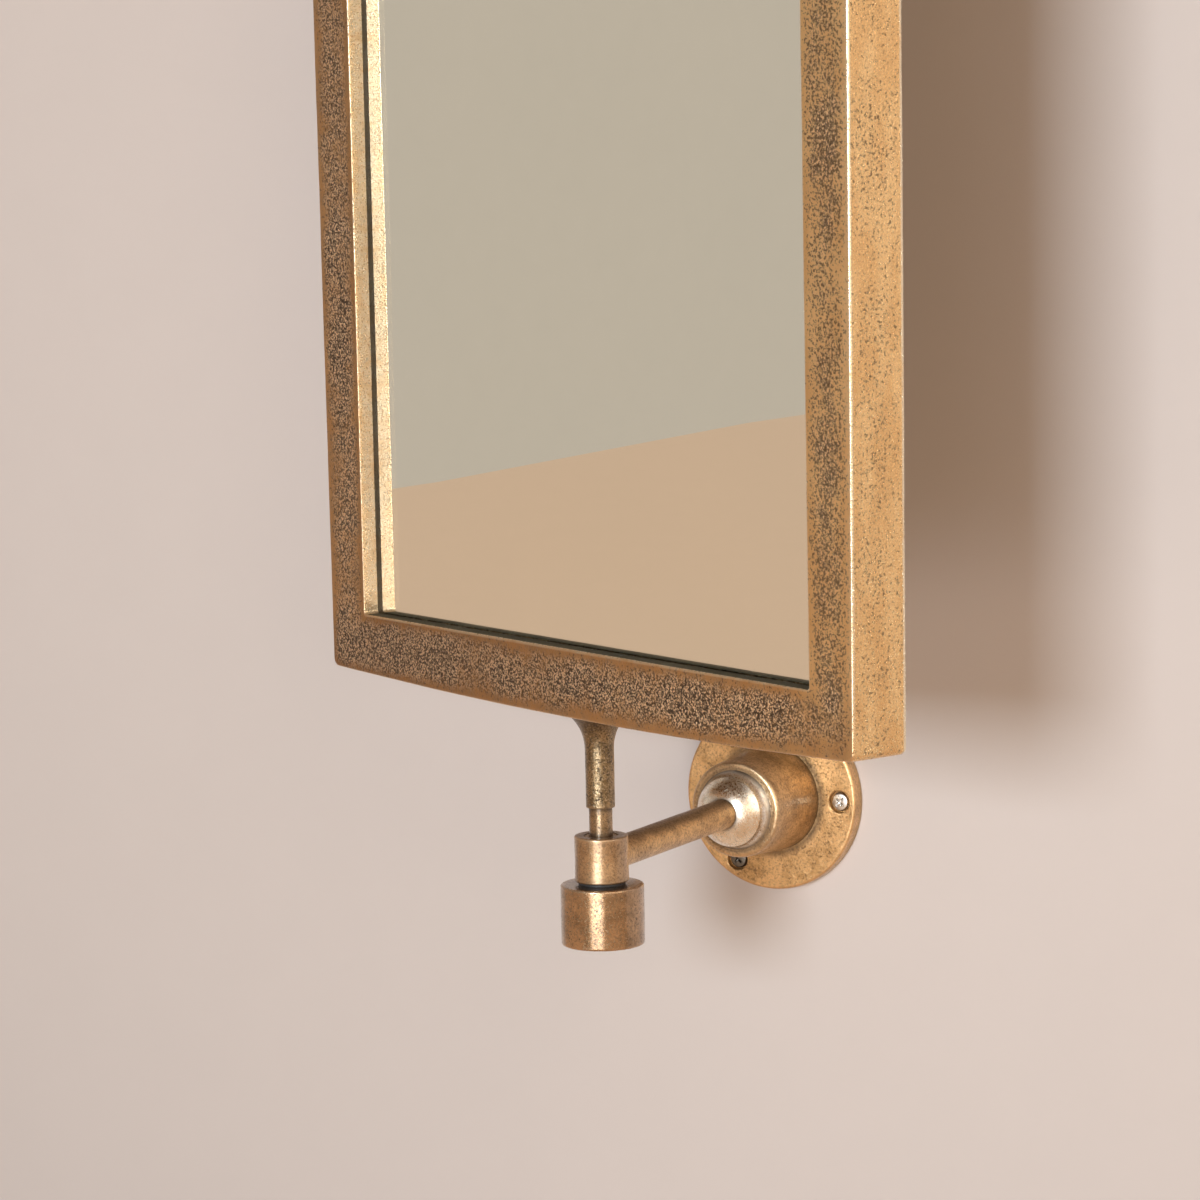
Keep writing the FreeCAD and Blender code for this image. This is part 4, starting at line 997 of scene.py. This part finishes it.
def make_stage():
    """The wall behind the brackets, a pale floor, and the side wall that the glass shows."""
    left, right, near, top = -9.0, 2.4, -9.0, 5.0
    wall_y = 0.0004

    def upright(start, end):
        return [(*start, FLOOR_LEVEL), (*end, FLOOR_LEVEL), (*end, top), (*start, top)]

    wall = stage_plane("back_wall", upright((left, wall_y), (right, wall_y)), WALL_COLOUR)
    wall.visible_shadow = False
    wall.visible_diffuse = False
    stage_plane("floor", [(left, near, FLOOR_LEVEL), (right, near, FLOOR_LEVEL), (right, wall_y, FLOOR_LEVEL),
                          (left, wall_y, FLOOR_LEVEL)], FLOOR_COLOUR, glow=0.86)
    side = stage_plane("side_wall", upright(SIDE_FAR, SIDE_NEAR), SIDE_COLOUR, glow=1.0)
    side.visible_shadow = False


ROOM_LIGHT = (0.22, 0.15, 0.085)
BACKGROUND = (0.50, 0.44, 0.385)
LAMP_TARGET = Vector((0, -ARM_REACH * MM, 0.15))


def make_lamp(name, azimuth, height, distance, size, power, colour, spread=180):
    """An area lamp round the front of the mirror, aimed at the lower pivot and unseen by the camera."""
    data = bpy.data.lights.new(name, "AREA")
    data.shape = "RECTANGLE"
    data.size, data.size_y = size
    data.energy = power
    data.color = colour
    data.spread = math.radians(spread)
    lamp = bpy.data.objects.new(name, data)
    bpy.context.scene.collection.objects.link(lamp)
    turn = math.radians(azimuth)
    lamp.location = LAMP_TARGET + Vector((distance * math.sin(turn), -distance * math.cos(turn), height))
    lamp.rotation_euler = (LAMP_TARGET - lamp.location).to_track_quat("-Z", "Y").to_euler()
    lamp.visible_camera = False


def make_room():
    """A world of dim light that shows the eye, the metal and the glass a pale background."""
    world = bpy.data.worlds.new("room")
    bpy.context.scene.world = world
    nodes = Nodes(world)
    seen = nodes.seen(nodes.add("ShaderNodeLightPath").outputs)
    nodes.feed(nodes.tree.nodes["Background"].inputs["Color"], nodes.blend(seen, ROOM_LIGHT, BACKGROUND))


def make_light():
    """A cool window in front, a warm soft box on the right and a low panel that lights the knob."""
    make_room()
    make_lamp("window", azimuth=7, height=0.36, distance=3.0, size=(0.8, 0.65), power=62.5,
              colour=(0.89, 1.0, 1.09))
    make_lamp("soft_box", azimuth=62, height=0.95, distance=3.0, size=(3.3, 2.6), power=45,
              colour=(1.0, 0.86, 0.69))
    make_lamp("low_panel", azimuth=13, height=-0.305, distance=0.85, size=(0.50, 0.17), power=0.40,
              colour=(1.0, 1.0, 1.0), spread=100)


CAMERA_PLACE = Vector((0.794859, -1.569059, 0.315991))
CAMERA_YAW, CAMERA_PITCH, CAMERA_ROLL = (math.radians(angle) for angle in (29.289, 7.477, -1.178))
SENSOR, LENS = 36, 125.043


def make_camera():
    """The photograph's viewpoint: right of the mirror, a little above its lower pivot."""
    ahead = Vector((-math.sin(CAMERA_YAW) * math.cos(CAMERA_PITCH),
                    math.cos(CAMERA_YAW) * math.cos(CAMERA_PITCH), -math.sin(CAMERA_PITCH)))
    level = Vector((math.cos(CAMERA_YAW), math.sin(CAMERA_YAW), 0))
    upright = level.cross(ahead)
    right = level * math.cos(CAMERA_ROLL) + upright * math.sin(CAMERA_ROLL)
    up = upright * math.cos(CAMERA_ROLL) - level * math.sin(CAMERA_ROLL)
    data = bpy.data.cameras.new("photo_view")
    data.sensor_width = SENSOR
    data.lens = LENS
    camera = bpy.data.objects.new("photo_view", data)
    camera.matrix_world = Matrix.Translation(CAMERA_PLACE) @ Matrix((right, up, -ahead)).transposed().to_4x4()
    bpy.context.scene.collection.objects.link(camera)
    bpy.context.scene.camera = camera


def build():
    """Make every piece and give it its look."""
    screw_look = steel("screw_steel", (0.88, 0.86, 0.82), (0.60, 0.57, 0.53), 0.30)
    # Clean and dull colour, roughness, speckle, relief in millimetres, then the coat and its roughness
    looks = {
        "sleeve": brass("sleeve_brass", (0.525, 0.345, 0.19), (0.345, 0.213, 0.108), 0.28, 0.55, 0.04, 0.85),
        "knob": brass("knob_brass", (0.50, 0.312, 0.165), (0.29, 0.174, 0.084), 0.19, 0.60, 0.03, 1.0, 0.15),
        "pin": brass("pin_brass", (0.38, 0.258, 0.142), (0.24, 0.158, 0.082), 0.27, 0.65, 0.04),
        "stem": brass("stem_brass", (0.36, 0.247, 0.125), (0.175, 0.117, 0.054), 0.28, 0.95, 0.16, 0.6, 0.2),
        "arm": brass("arm_brass", (0.75, 0.48, 0.22), (0.50, 0.31, 0.135), 0.34, 0.50, 0.11, 0.5, 0.24),
        "plate": brass("plate_brass", (0.77, 0.48, 0.22), (0.54, 0.32, 0.13), 0.38, 0.42, 0.14, 0.4, 0.3),
        "boss": brass("boss_brass", (0.67, 0.455, 0.25), (0.39, 0.25, 0.125), 0.30, 0.50, 0.11, 0.6, 0.2),
        # The dome's brass is much paler than the rest: polished, and partly a painted highlight
        "dome": brass("dome_brass_painted_highlight", (0.97, 0.91, 0.82), (0.84, 0.68, 0.50), 0.24, 0.18, 0.04, 0.9, 0.10),
        "bush": brass("bush_bronze", (0.42, 0.29, 0.17), (0.30, 0.20, 0.11), 0.34, 0.4, 0.04, 0.2),
        "nylon": plain("black_nylon", 0.5, (0.022, 0.020, 0.019), (0.045, 0.041, 0.038), 0.5, 0.03),
    }
    # Painted shade for the ledge under the glass: dark, dull brown
    ledge_shade_look = plain("ledge_painted_shade", 0.9, (0.070, 0.060, 0.030), (0.150, 0.128, 0.072), 0.8, 0.10)
    make_frame(frame_brass(), ledge_shade_look)
    make_glass(clear_glass(), silvering())
    board = slab("back_board", PANEL_FRONT, FRAME_BACK, rounding=0.8, columns=8, rows=30)
    fibre_look = plain("pressed_board", 1.1, (0.36, 0.255, 0.165), (0.24, 0.155, 0.095), 0.7, 0.10)
    dress(board, fibre_look, TURNING, "back_panel")
    foam_look = plain("packing_foam", 0.9, (0.055, 0.052, 0.050), (0.10, 0.097, 0.092), 0.85, 0.15)
    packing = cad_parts["glass_packing"]
    packing.data.materials.clear()
    packing.data.materials.append(foam_look)
    make_clips(steel("clip_steel", (0.62, 0.60, 0.57), (0.42, 0.40, 0.37), 0.34), screw_look)
    for end in ENDS:
        make_plate(end, looks["plate"], screw_look)
        make_arm_screw(end, screw_look)
        make_boss(end, looks["boss"], looks["dome"])
        make_arm(end, looks["arm"])
        make_pivot(end, looks)


build()
make_stage()
make_light()
make_camera()
bpy.context.scene.view_settings.view_transform = "Standard"
